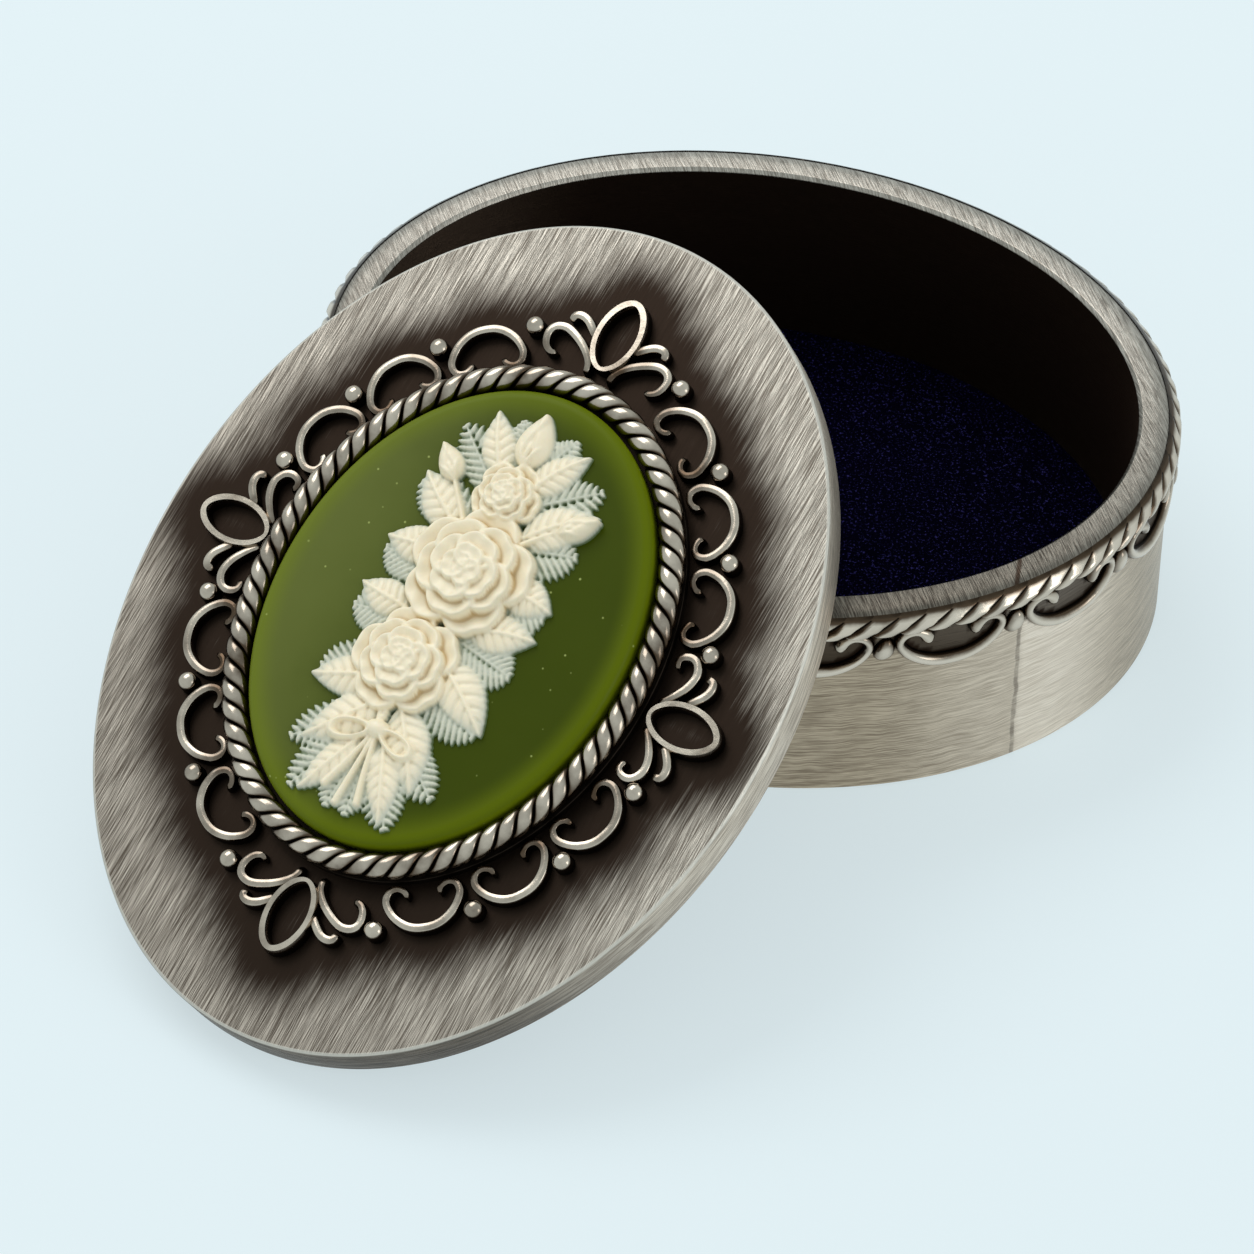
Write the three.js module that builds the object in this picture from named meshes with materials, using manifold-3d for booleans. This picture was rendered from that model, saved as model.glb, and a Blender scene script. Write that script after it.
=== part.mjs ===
// Oval keepsake box for a rosary, in antiqued pewter, with a lift-off lid.
// The lid is off: it leans on the floor and on the near rim of the box. All lengths are in millimetres.
// The origin is the middle of the box's flat bottom, +X is along its length and +Z is up.

import * as THREE from 'three';
import { mergeVertices } from 'three/addons/utils/BufferGeometryUtils.js';
import Module from 'manifold-3d';

const wasm = await Module();
wasm.setup();

// Box body
const boxLength = 70.6;
const boxWidth = 54.6;
const boxHeight = 20.2;
const wallThickness = 2.8;
const rimRollWidth = 1.2;
const rimRollDrop = 0.45;
const rimInnerChamfer = 0.35;
const footChamfer = 0.35;
const floorThickness = 1.6;

// Velvet pad in the bottom of the box
const padThickness = 1.7;
const padEdgeGap = 0.4;
const padCrown = 0.35;
const padCrownWidth = 8.4;
const padEdgeRound = 0.6;

// Gallery strip round the outside, under the rim
const galleryRepeats = 18;
const strandsPerRepeat = 5;
const galleryGap = 0.15;
const galleryRopeHeight = 1.7;
const galleryRopeDepth = 0.65;
const galleryRopeBelowRim = 0.37;
const galleryGroove = 0.4;
const galleryScrollWidth = 9.55;
const galleryScrollHeight = 4.6;
const galleryScrollTuck = 0.75;
const galleryWire = 0.9;
const galleryWireDepth = 0.62;
const galleryBeadWidth = 1.45;
const galleryBeadHeight = 2.2;
const galleryBeadDepth = 0.7;
const galleryBeadCrown = 0.9;
const galleryBeadDrop = 0.85;
const seamAngle = -41;

// Lid plate and the ring under it that keeps it on the box
const lidOverhang = 0.9;
const lidThickness = 3.7;
const lidEdgeChamfer = 0.3;
const ringThickness = 1.6;
const ringDepth = 1.8;
const ringClearance = 0.4;
const ringChamfer = 0.3;

// Where the lid lies: its slope, which way it faces, its turn on the slope and its middle across
const leanSlope = 27.1;
const leanFacing = -111.7;
const leanTurn = -3.6;
const leanAcross = -14.85;
const leanGap = 0.15;

// Setting of the cameo, a little off the lid's middle, towards its upper end
const settingShift = 0.4;
const seatGap = 0.25;
const cameoLength = 39.8;
const cameoWidth = 30.9;
const cameoThickness = 2;
const cameoEdgeRound = 0.9;
const bezelPlateThickness = 0.5;
const bezelPlateMargin = 0.05;
const ropeStrands = 70;
const ropeWidth = 1.9;
const ropeHeight = 1.9;
const ropeGroove = 0.38;

// Filigree round the setting
const wireWidth = 0.8;
const wireHeight = 0.9;
const scrollsPerQuarter = 3;
const scrollHeight = 4.3;
const scrollGap = 0.3;
const scrollSideGap = 0.07;
const grainRadius = 0.72;
const grainOuts = [3.35, 2.9, 2.85, 2.75];
const finialLength = 6.65;
const finialWidth = 4.2;
const finialFootWire = 0.5;
const finialTipWire = 0.7;
const finialHoleWidth = 2.85;
const finialOut = 0.6;
const endFinialOut = 1.25;
const finialHeight = 1.05;

// Moulded flower spray of the cameo: its height and its margins to the tablet's ends and sides
const sprayHeight = 2.6;
const sprayEndMargin = 1.9;
const spraySideMargin = 7.65;
const rosePetals = 5;
const petalTilt = 14;
const stemSpread = 14;

// Facets
const ovalSteps = 64;
const scrollSteps = 11;
const galleryScrollSteps = 10;
const sideHookSteps = 8;
const leafHookSteps = 4;

// How wide a wire is on top, at the tips of its foot and at the tips of its top
const wireTopShare = 0.8;
const wireTipShare = 0.8;
const wireTipTopShare = 0.62;
// Half of a C-scroll, from the middle of its back to the tip of its curl: across, and up from the curls
const scrollShares = [
  [0, 1], [0.3, 0.97], [0.58, 0.85], [0.84, 0.62], [0.99, 0.3], [0.9, 0.06], [0.68, 0], [0.48, 0.1],
  [0.44, 0.26],
];
// A rope's cross-section: across, and out from its back
const flatRopeShares = [[-0.5, 0], [-0.36, 1], [0.36, 1], [0.5, 0]];
const roundRopeShares = [[-0.5, 0], [-0.5, 0.45], [0, 1], [0.5, 0.45], [0.5, 0]];
// Hooks beside a finial, from the foot of its loop: outwards, and to the side. Those at the lid's ends differ
const sideHookShares = [
  [0.03, 0.15], [0.15, 0.27], [0.27, 0.45], [0.31, 0.63], [0.25, 0.765], [0.15, 0.81], [0.045, 0.775],
  [0.015, 0.7], [0.06, 0.62],
];
const endHookShares = [
  [-0.1, 0.16], [0.05, 0.19], [0.185, 0.31], [0.29, 0.48], [0.35, 0.66], [0.31, 0.8], [0.2, 0.85],
  [0.06, 0.8], [0, 0.7], [0.035, 0.63],
];
const leafHookShares = [[0.41, 0.31], [0.52, 0.44], [0.56, 0.56], [0.53, 0.645], [0.44, 0.66]];
// Where the control points of a finial's hole lie: along it and across it
const finialHoleShares = [0.55, 0.67];
// How much of the oval a finial keeps for itself, in its own length: at the lid's ends and at its sides
const finialSpanShares = [0.88, 0.85];
// The spray is drawn in shares of its length. Its width and height in them:
const sprayWidthShare = 0.43;
const sprayHeightShare = 0.072;
// Radius of the roses, and in it their heart, and the length, width, height and offset of a petal
const roseShare = 0.136;
const smallRoseShare = 0.103;
const roseHeartShare = 0.45;
const petalShares = [0.5, 0.62, 0.72, 0.5];
// Length, width and height of the bud, of the tie round the stems and of a leaf
const budShares = [0.175, 0.117, 0.05];
const tieShares = [0.07, 0.117, 0.041];
const leafShares = [0.192, 0.092, 0.025];
const stemShare = 0.0345;
const stemEndShare = 0.2;
const smallRoseHeightShare = 0.85;
// Where the roses, the bud and the tie lie, along the spray and across it
const rosePlaceShares = [0.12, 0];
const smallRosePlaceShares = [-0.1, 0.056];
const budPlaceShares = [0.4, 0];
const tiePlaceShares = [-0.3, 0];
// The main stem, bottom to top
const stemPlaceShares = [
  [-0.49, -0.05], [-0.3, 0], [-0.1, 0.017], [0.12, -0.009], [0.3, -0.03], [0.46, 0.009],
];
// Where each leaf starts, which way it points, and how far its middle stands from there in its own length
const leafPlaceShares = [
  [-0.2, 0.017], [-0.2, -0.009], [-0.06, -0.017], [-0.06, 0.113], [0.1, 0.069], [0.1, -0.078], [0.22, 0.017],
  [0.24, -0.035],
];
const leafAngles = [128, -126, -104, 100, 76, -70, 42, -38];
const leafStartShare = 0.36;

const halfLength = boxLength / 2;
const halfWidth = boxWidth / 2;
const lidHalfLength = halfLength + lidOverhang;
const lidHalfWidth = halfWidth + lidOverhang;
const fullTurn = 2 * Math.PI;
const radians = THREE.MathUtils.degToRad;

// A point of an oval whose half axes are shorter by inset
function ovalPoint(halfX, halfY, inset, angle, z) {
  return [(halfX - inset) * Math.cos(angle), (halfY - inset) * Math.sin(angle), z];
}

function meshGeometry(points, triangles) {
  const geometry = new THREE.BufferGeometry();
  geometry.setAttribute('position', new THREE.Float32BufferAttribute(points.flat(), 3));
  geometry.setIndex(triangles);
  return geometry;
}

// Two triangles between neighbouring points of two neighbouring rows
function quad(triangles, a, b, c, d) {
  triangles.push(a, b, c, a, c, d);
}

// A closed ring: profile is a loop of [inset, z], anticlockwise with the inset to the left and z up
function ovalRing(halfX, halfY, profile) {
  const points = [];
  const triangles = [];
  const sides = profile.length;
  for (let i = 0; i < ovalSteps; i += 1) {
    for (const [inset, z] of profile) {
      points.push(ovalPoint(halfX, halfY, inset, (fullTurn * i) / ovalSteps, z));
    }
    const next = (i + 1) % ovalSteps;
    for (let j = 0; j < sides; j += 1) {
      const up = (j + 1) % sides;
      quad(triangles, i * sides + j, next * sides + j, next * sides + up, i * sides + up);
    }
  }
  return meshGeometry(points, triangles);
}

// A plate: levels are [inset, z] from the bottom face to the top face, both flat across
function ovalPlate(halfX, halfY, levels) {
  const points = [];
  const triangles = [];
  levels.forEach(([inset, z], level) => {
    for (let i = 0; i < ovalSteps; i += 1) {
      points.push(ovalPoint(halfX, halfY, inset, (fullTurn * i) / ovalSteps, z));
      const next = (i + 1) % ovalSteps;
      if (level > 0) {
        const low = (level - 1) * ovalSteps;
        const high = level * ovalSteps;
        quad(triangles, low + i, low + next, high + next, high + i);
      }
    }
  });
  const bottom = points.push([0, 0, levels[0][1]]) - 1;
  const top = points.push([0, 0, levels[levels.length - 1][1]]) - 1;
  const last = (levels.length - 1) * ovalSteps;
  for (let i = 0; i < ovalSteps; i += 1) {
    const next = (i + 1) % ovalSteps;
    triangles.push(bottom, next, i);
    triangles.push(top, last + i, last + next);
  }
  return meshGeometry(points, triangles);
}

// A rope lying round an oval: a flat-backed ridge whose strands slant, made by shearing each cross-section.
// place(u, across, out) puts a point on the oval: u is the share of the way round
function ropeBody(sectionShares, strands, width, depth, groove, place) {
  const sides = sectionShares.length;
  const steps = strands * 2;
  const points = [];
  const triangles = [];
  for (let i = 0; i < steps; i += 1) {
    const ridge = i % 2 === 0;
    for (const [acrossShare, outShare] of sectionShares) {
      const shear = outShare > 0 ? acrossShare : 0;
      const across = acrossShare * width * (ridge ? 1 : (width - groove) / width);
      const out = outShare * (ridge ? depth : depth - groove);
      points.push(place((i / 2 + shear) / strands, across, out));
    }
    const next = (i + 1) % steps;
    for (let j = 0; j < sides; j += 1) {
      const up = (j + 1) % sides;
      quad(triangles, i * sides + j, next * sides + j, next * sides + up, i * sides + up);
    }
  }
  return meshGeometry(points, triangles);
}

// A flat-backed wire along a plane path, a little narrower on top; place(x, y, out) sets it on its surface
function wireBody(path, width, height, place) {
  const count = path.length;
  const points = [];
  const triangles = [];
  path.forEach((point, i) => {
    const before = path[Math.max(i - 1, 0)];
    const after = path[Math.min(i + 1, count - 1)];
    const side = after.clone().sub(before).normalize().rotateAround(new THREE.Vector2(), Math.PI / 2);
    const tip = i === 0 || i === count - 1;
    const foot = (tip ? wireTipShare : 1) * width / 2;
    const crown = (tip ? wireTipTopShare : wireTopShare) * width / 2;
    for (const [reach, out] of [[foot, 0], [crown, height], [-crown, height], [-foot, 0]]) {
      const corner = point.clone().addScaledVector(side, reach);
      points.push(place(corner.x, corner.y, out));
    }
  });
  const sides = 4;
  for (let i = 0; i + 1 < count; i += 1) {
    for (let j = 0; j < sides; j += 1) {
      const up = (j + 1) % sides;
      quad(triangles, i * sides + j, i * sides + up, (i + 1) * sides + up, (i + 1) * sides + j);
    }
  }
  const end = (count - 1) * sides;
  for (let j = 1; j + 1 < sides; j += 1) {
    triangles.push(0, j + 1, j);
    triangles.push(end, end + j, end + j + 1);
  }
  return meshGeometry(points, triangles);
}

// The path of a C-scroll, tip to tip, with its back up
function scrollPath(width, height, steps) {
  const half = scrollShares.map(([across, up]) => new THREE.Vector2(across * width / 2, up * height));
  const other = half.slice(1).map((point) => new THREE.Vector2(-point.x, point.y)).reverse();
  return new THREE.SplineCurve([...other, ...half]).getSpacedPoints(steps);
}

function solidOf(geometry) {
  const bare = new THREE.BufferGeometry();
  bare.setAttribute('position', geometry.getAttribute('position').clone());
  if (geometry.index) bare.setIndex(geometry.index.clone());
  const merged = mergeVertices(bare, 1e-4);
  return new wasm.Manifold(new wasm.Mesh({
    numProp: 3,
    vertProperties: new Float32Array(merged.getAttribute('position').array),
    triVerts: new Uint32Array(merged.index.array),
  }));
}

function geometryOf(solid) {
  const mesh = solid.getMesh();
  const geometry = new THREE.BufferGeometry();
  geometry.setAttribute('position', new THREE.BufferAttribute(new Float32Array(mesh.vertProperties), 3));
  geometry.setIndex(new THREE.BufferAttribute(new Uint32Array(mesh.triVerts), 1));
  return geometry;
}

// Joins several closed geometries into one body
function joined(geometries) {
  return geometryOf(geometries.map(solidOf).reduce((whole, piece) => whole.add(piece)));
}

function finish(color, roughness, metalness) {
  return new THREE.MeshStandardMaterial({ color, roughness, metalness, flatShading: true });
}

function part(name, geometry, material) {
  const mesh = new THREE.Mesh(geometry, material);
  mesh.name = name;
  return mesh;
}

const brushedPewter = () => finish(0x9c978f, 0.38, 0.9);
const antiquePewter = () => finish(0x8d8880, 0.42, 0.9);
const brightPewter = () => finish(0xb9b5ae, 0.3, 0.95);

// Box wall: an oval band whose rim rolls off outwards
function wallBand() {
  const top = boxHeight;
  return ovalRing(halfLength, halfWidth, [
    [wallThickness, 0],
    [footChamfer, 0],
    [0, footChamfer],
    [0, top - rimRollDrop],
    [rimRollWidth / 3, top - rimRollDrop / 3],
    [rimRollWidth, top],
    [wallThickness - rimInnerChamfer, top],
    [wallThickness, top - rimInnerChamfer],
  ]);
}

// Floor plate let into the band, flush with its foot
function floorPlate() {
  return ovalPlate(halfLength - wallThickness, halfWidth - wallThickness, [[0, 0], [0, floorThickness]]);
}

// Velvet over a card, a little crowned and rounded at its edge
function velvetPad() {
  const inset = wallThickness + padEdgeGap;
  const low = floorThickness;
  const edge = low + padThickness - padCrown;
  const round = padEdgeRound * (1 - Math.SQRT1_2);
  return ovalPlate(halfLength - inset, halfWidth - inset, [
    [0, low],
    [0, edge - padEdgeRound],
    [round, edge - round],
    [padEdgeRound, edge],
    [padCrownWidth, low + padThickness],
  ]);
}

// The oval that the gallery lies on, starting at the seam, where the strip's two ends meet
const galleryOval = new THREE.EllipseCurve(
  0, 0, halfLength + galleryGap, halfWidth + galleryGap, radians(seamAngle), radians(seamAngle) + fullTurn,
);
galleryOval.arcLengthDivisions = 1440;

function onWall(share, z, out) {
  const turn = ((share % 1) + 1) % 1;
  const point = galleryOval.getPointAt(turn);
  const tangent = galleryOval.getTangentAt(turn);
  return [point.x + tangent.y * out, point.y - tangent.x * out, z];
}

function galleryStrip() {
  const wayRound = galleryOval.getLength();
  const pitch = 1 / galleryRepeats;
  const strands = galleryRepeats * strandsPerRepeat;
  const ropeMiddle = boxHeight - galleryRopeBelowRim - galleryRopeHeight / 2;
  const ropeFoot = ropeMiddle - galleryRopeHeight / 2;
  const onRope = (share, across, out) => onWall(share, ropeMiddle + across, out);
  const pieces = [
    ropeBody(flatRopeShares, strands, galleryRopeHeight, galleryRopeDepth, galleryGroove, onRope),
  ];
  const path = scrollPath(
    galleryScrollWidth - galleryWire, galleryScrollHeight - galleryWire, galleryScrollSteps,
  );
  const bead = new THREE.CylinderGeometry(galleryBeadCrown / 2, galleryBeadWidth / 2, galleryBeadDepth, 6, 1);
  bead.rotateX(Math.PI / 2).scale(1, galleryBeadHeight / galleryBeadWidth, 1);
  const beadPoints = bead.getAttribute('position');
  for (let i = 0; i < galleryRepeats; i += 1) {
    const top = ropeFoot + galleryScrollTuck - galleryWire / 2;
    pieces.push(wireBody(path, galleryWire, galleryWireDepth,
      (x, y, out) => onWall((i + 0.5) * pitch - x / wayRound, top - y, out)));
    const grain = bead.clone();
    for (let k = 0; k < beadPoints.count; k += 1) {
      const z = ropeFoot - galleryBeadDrop + beadPoints.getY(k);
      const out = galleryBeadDepth / 2 + beadPoints.getZ(k);
      grain.getAttribute('position').setXYZ(k, ...onWall(i * pitch + beadPoints.getX(k) / wayRound, z, out));
    }
    pieces.push(grain);
  }
  return joined(pieces);
}

// Lid plate, with its face at z = 0, and the ring under it
function lidPlate() {
  return ovalPlate(lidHalfLength, lidHalfWidth, [
    [lidEdgeChamfer, -lidThickness],
    [0, lidEdgeChamfer - lidThickness],
    [0, -lidEdgeChamfer],
    [lidEdgeChamfer, 0],
  ]);
}

function locatingRing() {
  const inset = wallThickness + ringClearance + lidOverhang;
  const top = -lidThickness - seatGap;
  return ovalRing(lidHalfLength, lidHalfWidth, [
    [inset + ringThickness, top - ringDepth],
    [inset + ringChamfer, top - ringDepth],
    [inset, top - ringDepth + ringChamfer],
    [inset, top],
    [inset + ringThickness, top],
  ]);
}

// Setting: plate, rope bezel and tablet stand on each other above the lid's face
const cameoHalfLength = cameoLength / 2;
const cameoHalfWidth = cameoWidth / 2;
const ropeInset = -seatGap - ropeWidth / 2;
const plateTop = seatGap + bezelPlateThickness;
const settingFoot = plateTop + seatGap;

function bezelPlate() {
  const reach = seatGap + ropeWidth + bezelPlateMargin;
  return ovalPlate(cameoHalfLength + reach, cameoHalfWidth + reach, [[0, seatGap], [0, plateTop]]);
}

const ropeOval = new THREE.EllipseCurve(
  0, 0, cameoHalfLength - ropeInset, cameoHalfWidth - ropeInset, 0, fullTurn,
);
ropeOval.arcLengthDivisions = 1440;

function ropeBezel() {
  return ropeBody(roundRopeShares, ropeStrands, ropeWidth, ropeHeight, ropeGroove, (share, across, out) => {
    const turn = ((share % 1) + 1) % 1;
    const point = ropeOval.getPointAt(turn);
    const tangent = ropeOval.getTangentAt(turn);
    return [point.x - tangent.y * across, point.y + tangent.x * across, settingFoot + out];
  });
}

function cameoTablet() {
  const top = settingFoot + cameoThickness;
  const round = cameoEdgeRound;
  return ovalPlate(cameoHalfLength, cameoHalfWidth, [
    [0, settingFoot],
    [0, top - round],
    [round * (1 - Math.SQRT1_2), top - round * (1 - Math.SQRT1_2)],
    [round, top],
  ]);
}

// Filigree: the curls of its scrolls stand on an oval that keeps its distance from the rope
const ropeOuterX = cameoHalfLength + seatGap + ropeWidth;
const ropeOuterY = cameoHalfWidth + seatGap + ropeWidth;
const curlOut = scrollGap + wireWidth / 2;
const curlOval = new THREE.EllipseCurve(0, 0, ropeOuterX + curlOut, ropeOuterY + curlOut, 0, fullTurn);
curlOval.arcLengthDivisions = 1440;
const curlLength = curlOval.getLength();
const [spanAtEnds, spanAtSides] = finialSpanShares.map((share) => share * finialLength);
const scrollPitch = (curlLength / 4 - spanAtEnds - spanAtSides) / scrollsPerQuarter;
const scrollWidth = scrollPitch - scrollSideGap;

// Places on that oval, a scroll's pitch apart in each quarter, as shares of the way round from +X
function placesRound(first, count) {
  const shareOf = (i) => (spanAtEnds + (first + i) * scrollPitch) / curlLength;
  const quarter = Array.from({ length: count }, (_, i) => shareOf(i));
  const half = [...quarter, ...quarter.map((share) => 0.5 - share).reverse()];
  return [...half, ...half.map((share) => 0.5 + share)];
}

function outwards(share) {
  const tangent = curlOval.getTangentAt(share % 1);
  return new THREE.Vector2(tangent.y, -tangent.x);
}

function filigreeScroll(share) {
  const foot = curlOval.getPointAt(share);
  const out = outwards(share);
  // the curls reach down to the oval where it bends away from the scroll's middle
  const [curlShare] = scrollShares.find(([, up]) => up === 0);
  const aside = (curlShare * scrollWidth) / 2 / curlLength;
  const sag = foot.clone().sub(curlOval.getPointAt(share + aside)).dot(out);
  const path = scrollPath(scrollWidth - wireWidth, scrollHeight - wireWidth, scrollSteps);
  return wireBody(path, wireWidth, wireHeight, (x, y, up) => {
    const rise = y - sag;
    return [foot.x + out.y * x + out.x * rise, foot.y - out.x * x + out.y * rise, seatGap + up];
  });
}

// A grain, in the notch between two scrolls
function filigreeGrain(share, out) {
  const grain = new THREE.SphereGeometry(grainRadius, 8, 4);
  const place = curlOval.getPointAt(share).addScaledVector(outwards(share), out);
  grain.rotateX(Math.PI / 2).translate(place.x, place.y, seatGap + grainRadius);
  return geometryOf(solidOf(grain));
}

// A flat oval along +X with a hole that is pointed at both ends
function finialLoop() {
  const outline = new THREE.Shape();
  outline.absellipse(finialLength / 2, 0, finialLength / 2, finialWidth / 2, 0, fullTurn);
  const half = (finialLength - finialFootWire - finialTipWire) / 2;
  const [pull, bow] = [finialHoleShares[0] * half, finialHoleShares[1] * finialHoleWidth];
  const middle = finialFootWire + half;
  const hole = new THREE.Path();
  hole.moveTo(middle - half, 0);
  hole.bezierCurveTo(middle - pull, -bow, middle + pull, -bow, middle + half, 0);
  hole.bezierCurveTo(middle + pull, bow, middle - pull, bow, middle - half, 0);
  outline.holes.push(hole);
  const settings = { depth: finialHeight, bevelEnabled: false, curveSegments: 7 };
  return new THREE.ExtrudeGeometry(outline, settings).translate(0, 0, seatGap);
}

// A finial along +X from the rope: its loop, two side hooks and two leaf hooks
function finialBody(hookShares) {
  const pieces = [finialLoop()];
  for (const side of [1, -1]) {
    for (const [shares, steps] of [[hookShares, sideHookSteps], [leafHookShares, leafHookSteps]]) {
      const places = shares.map(
        ([out, across]) => new THREE.Vector2(out, side * across).multiplyScalar(finialLength),
      );
      const path = new THREE.SplineCurve(places).getSpacedPoints(steps);
      pieces.push(wireBody(path, wireWidth, wireHeight, (x, y, up) => [x, y, seatGap + up]));
    }
  }
  return pieces;
}

function finial(foot, angle, hookShares) {
  const pieces = finialBody(hookShares);
  pieces.forEach((piece) => piece.translate(foot, 0, 0).rotateZ(radians(angle)));
  return joined(pieces);
}

// Moulded spray: roses, a bud, leaves and tied stems, as overlapping domes
function dome(radiusX, radiusY, height, columns, rows) {
  const body = new THREE.SphereGeometry(1, columns, rows);
  return body.rotateX(Math.PI / 2).scale(radiusX, radiusY, height);
}

function rose(radius, height) {
  const heart = radius * roseHeartShare;
  const [length, width, rise, offset] = petalShares;
  const pieces = [dome(heart, heart, height, 7, 5)];
  for (let i = 0; i < rosePetals; i += 1) {
    const petal = dome(radius * length, radius * width, height * rise, 7, 4);
    petal.rotateY(-radians(petalTilt)).translate(radius * offset, 0, 0).rotateZ((fullTurn * i) / rosePetals);
    pieces.push(petal);
  }
  return pieces;
}

const sprayLength = cameoLength - 2 * sprayEndMargin;
const sprayWidth = cameoWidth - 2 * spraySideMargin;

function oblong(shares) {
  const [length, width, height] = shares.map((share) => share * sprayLength);
  return dome(length / 2, width / 2, height, 8, 4);
}

function leaf(angle) {
  const start = leafShares[0] * sprayLength * leafStartShare;
  return oblong(leafShares).translate(start, 0, 0).rotateZ(radians(angle));
}

function cameoRelief() {
  const pieces = [];
  const put = (geometries, [along, across]) => {
    geometries.forEach((piece) => pieces.push(piece.translate(along * sprayLength, across * sprayLength, 0)));
  };
  const height = sprayHeightShare * sprayLength;
  put(rose(roseShare * sprayLength, height), rosePlaceShares);
  put(rose(smallRoseShare * sprayLength, height * smallRoseHeightShare), smallRosePlaceShares);
  put([oblong(budShares)], budPlaceShares);
  put([oblong(tieShares)], tiePlaceShares);
  leafPlaceShares.forEach((shares, i) => put([leaf(leafAngles[i])], shares));
  const places = stemPlaceShares.map(
    ([along, across]) => new THREE.Vector2(along, across).multiplyScalar(sprayLength),
  );
  const path = new THREE.SplineCurve(places).getSpacedPoints(scrollSteps);
  const stemWidth = stemShare * sprayLength;
  pieces.push(wireBody(path, stemWidth, stemWidth, (x, y, up) => [x, y, up]));
  const end = stemEndShare * sprayLength;
  for (const side of [1, -1]) {
    const stem = new THREE.CylinderGeometry(stemWidth / 2, stemWidth / 2, end, 6);
    stem.rotateZ(Math.PI / 2 + radians(side * stemSpread)).translate(-end / 2, 0, 0);
    put([stem], tiePlaceShares);
  }
  const whole = pieces.map(solidOf).reduce((body, piece) => body.add(piece));
  const cutter = new THREE.BoxGeometry(sprayLength * 2, sprayLength, sprayLength);
  cutter.translate(0, 0, -sprayLength / 2);
  const spray = geometryOf(whole.subtract(solidOf(cutter)));
  spray.scale(1, sprayWidth / (sprayWidthShare * sprayLength), sprayHeight / height);
  return spray.translate(0, 0, settingFoot + cameoThickness + seatGap);
}

// The lid's frame: its long axis runs nearly straight up the slope
function lidPose() {
  const slope = radians(leanSlope);
  const facing = radians(leanFacing);
  const normal = new THREE.Vector3(
    Math.sin(slope) * Math.cos(facing), Math.sin(slope) * Math.sin(facing), Math.cos(slope),
  );
  const across = new THREE.Vector3(0, 0, 1).cross(normal).normalize();
  const uphill = normal.clone().cross(across);
  const turn = radians(leanTurn);
  const long = uphill.clone().multiplyScalar(Math.cos(turn)).addScaledVector(across, Math.sin(turn));
  const wide = normal.clone().cross(long);
  // the underside lies on the rim or on the rope below it, and the low edge on the floor
  const reachOf = (out, z) => {
    const side = Math.hypot((halfLength + out) * normal.x, (halfWidth + out) * normal.y);
    return side + z * normal.z;
  };
  const ropeShoulder = boxHeight - galleryRopeBelowRim - galleryRopeHeight * (0.5 - flatRopeShares[2][0]);
  const rimReach = Math.max(
    reachOf(-rimRollWidth / 3, boxHeight - rimRollDrop / 3),
    reachOf(galleryGap + galleryRopeDepth, ropeShoulder),
  );
  const lidReach = Math.hypot(lidHalfLength * long.z, lidHalfWidth * wide.z);
  const height = rimReach + leanGap;
  const along = (leanGap + lidReach - height * normal.z) / uphill.z;
  const sideways = (leanAcross - (height + lidThickness) * normal.x - along * uphill.x) / across.x;
  const place = normal.clone().multiplyScalar(height + lidThickness)
    .addScaledVector(uphill, along).addScaledVector(across, sideways);
  return new THREE.Matrix4().makeBasis(long, wide, normal).setPosition(place);
}

const group = new THREE.Group();

const box = new THREE.Group();
box.add(part('box_wall', wallBand(), brushedPewter()));
box.add(part('box_floor', floorPlate(), brushedPewter()));
box.add(part('gallery_strip', galleryStrip(), brightPewter()));
box.add(part('velvet_pad', velvetPad(), finish(0x0c0a24, 0.95, 0)));
group.add(box);

const lid = new THREE.Group();
lid.applyMatrix4(lidPose());
lid.add(part('lid_plate', lidPlate(), brushedPewter()));
lid.add(part('lid_locating_ring', locatingRing(), antiquePewter()));
group.add(lid);

const setting = new THREE.Group();
setting.position.x = settingShift;
setting.add(part('bezel_plate', bezelPlate(), antiquePewter()));
setting.add(part('rope_bezel', ropeBezel(), brightPewter()));
setting.add(part('cameo_tablet', cameoTablet(), finish(0x4a5d14, 0.28, 0)));
setting.add(part('cameo_relief', cameoRelief(), finish(0xf0e6cf, 0.45, 0)));
lid.add(setting);

// Scrolls and grains, alike in the four quarters and numbered round the lid
const filigree = new THREE.Group();
placesRound(0.5, scrollsPerQuarter).forEach((share, i) => {
  filigree.add(part(`scroll_${String(i + 1).padStart(2, '0')}`, filigreeScroll(share), brightPewter()));
});
const halfOuts = [...grainOuts, ...[...grainOuts].reverse()];
placesRound(0, scrollsPerQuarter + 1).forEach((share, i) => {
  const grain = filigreeGrain(share, halfOuts[i % halfOuts.length]);
  filigree.add(part(`grain_${String(i + 1).padStart(2, '0')}`, grain, brightPewter()));
});
const endFoot = ropeOuterX + endFinialOut;
const sideFoot = ropeOuterY + finialOut;
filigree.add(part('finial_top', finial(endFoot, 0, endHookShares), brightPewter()));
filigree.add(part('finial_left', finial(sideFoot, 90, sideHookShares), brightPewter()));
filigree.add(part('finial_bottom', finial(endFoot, 180, endHookShares), brightPewter()));
filigree.add(part('finial_right', finial(sideFoot, 270, sideHookShares), brightPewter()));
setting.add(filigree);

export default group;
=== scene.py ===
"""Looks of the oval rosary box: brushed and antiqued pewter, a velvet pad and a resin cameo.

Sizes are in millimetres, as in the part's source, and become metres where a mesh is made.
"""
import math

import bpy
import numpy as np
from mathutils import Matrix, Vector


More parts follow.
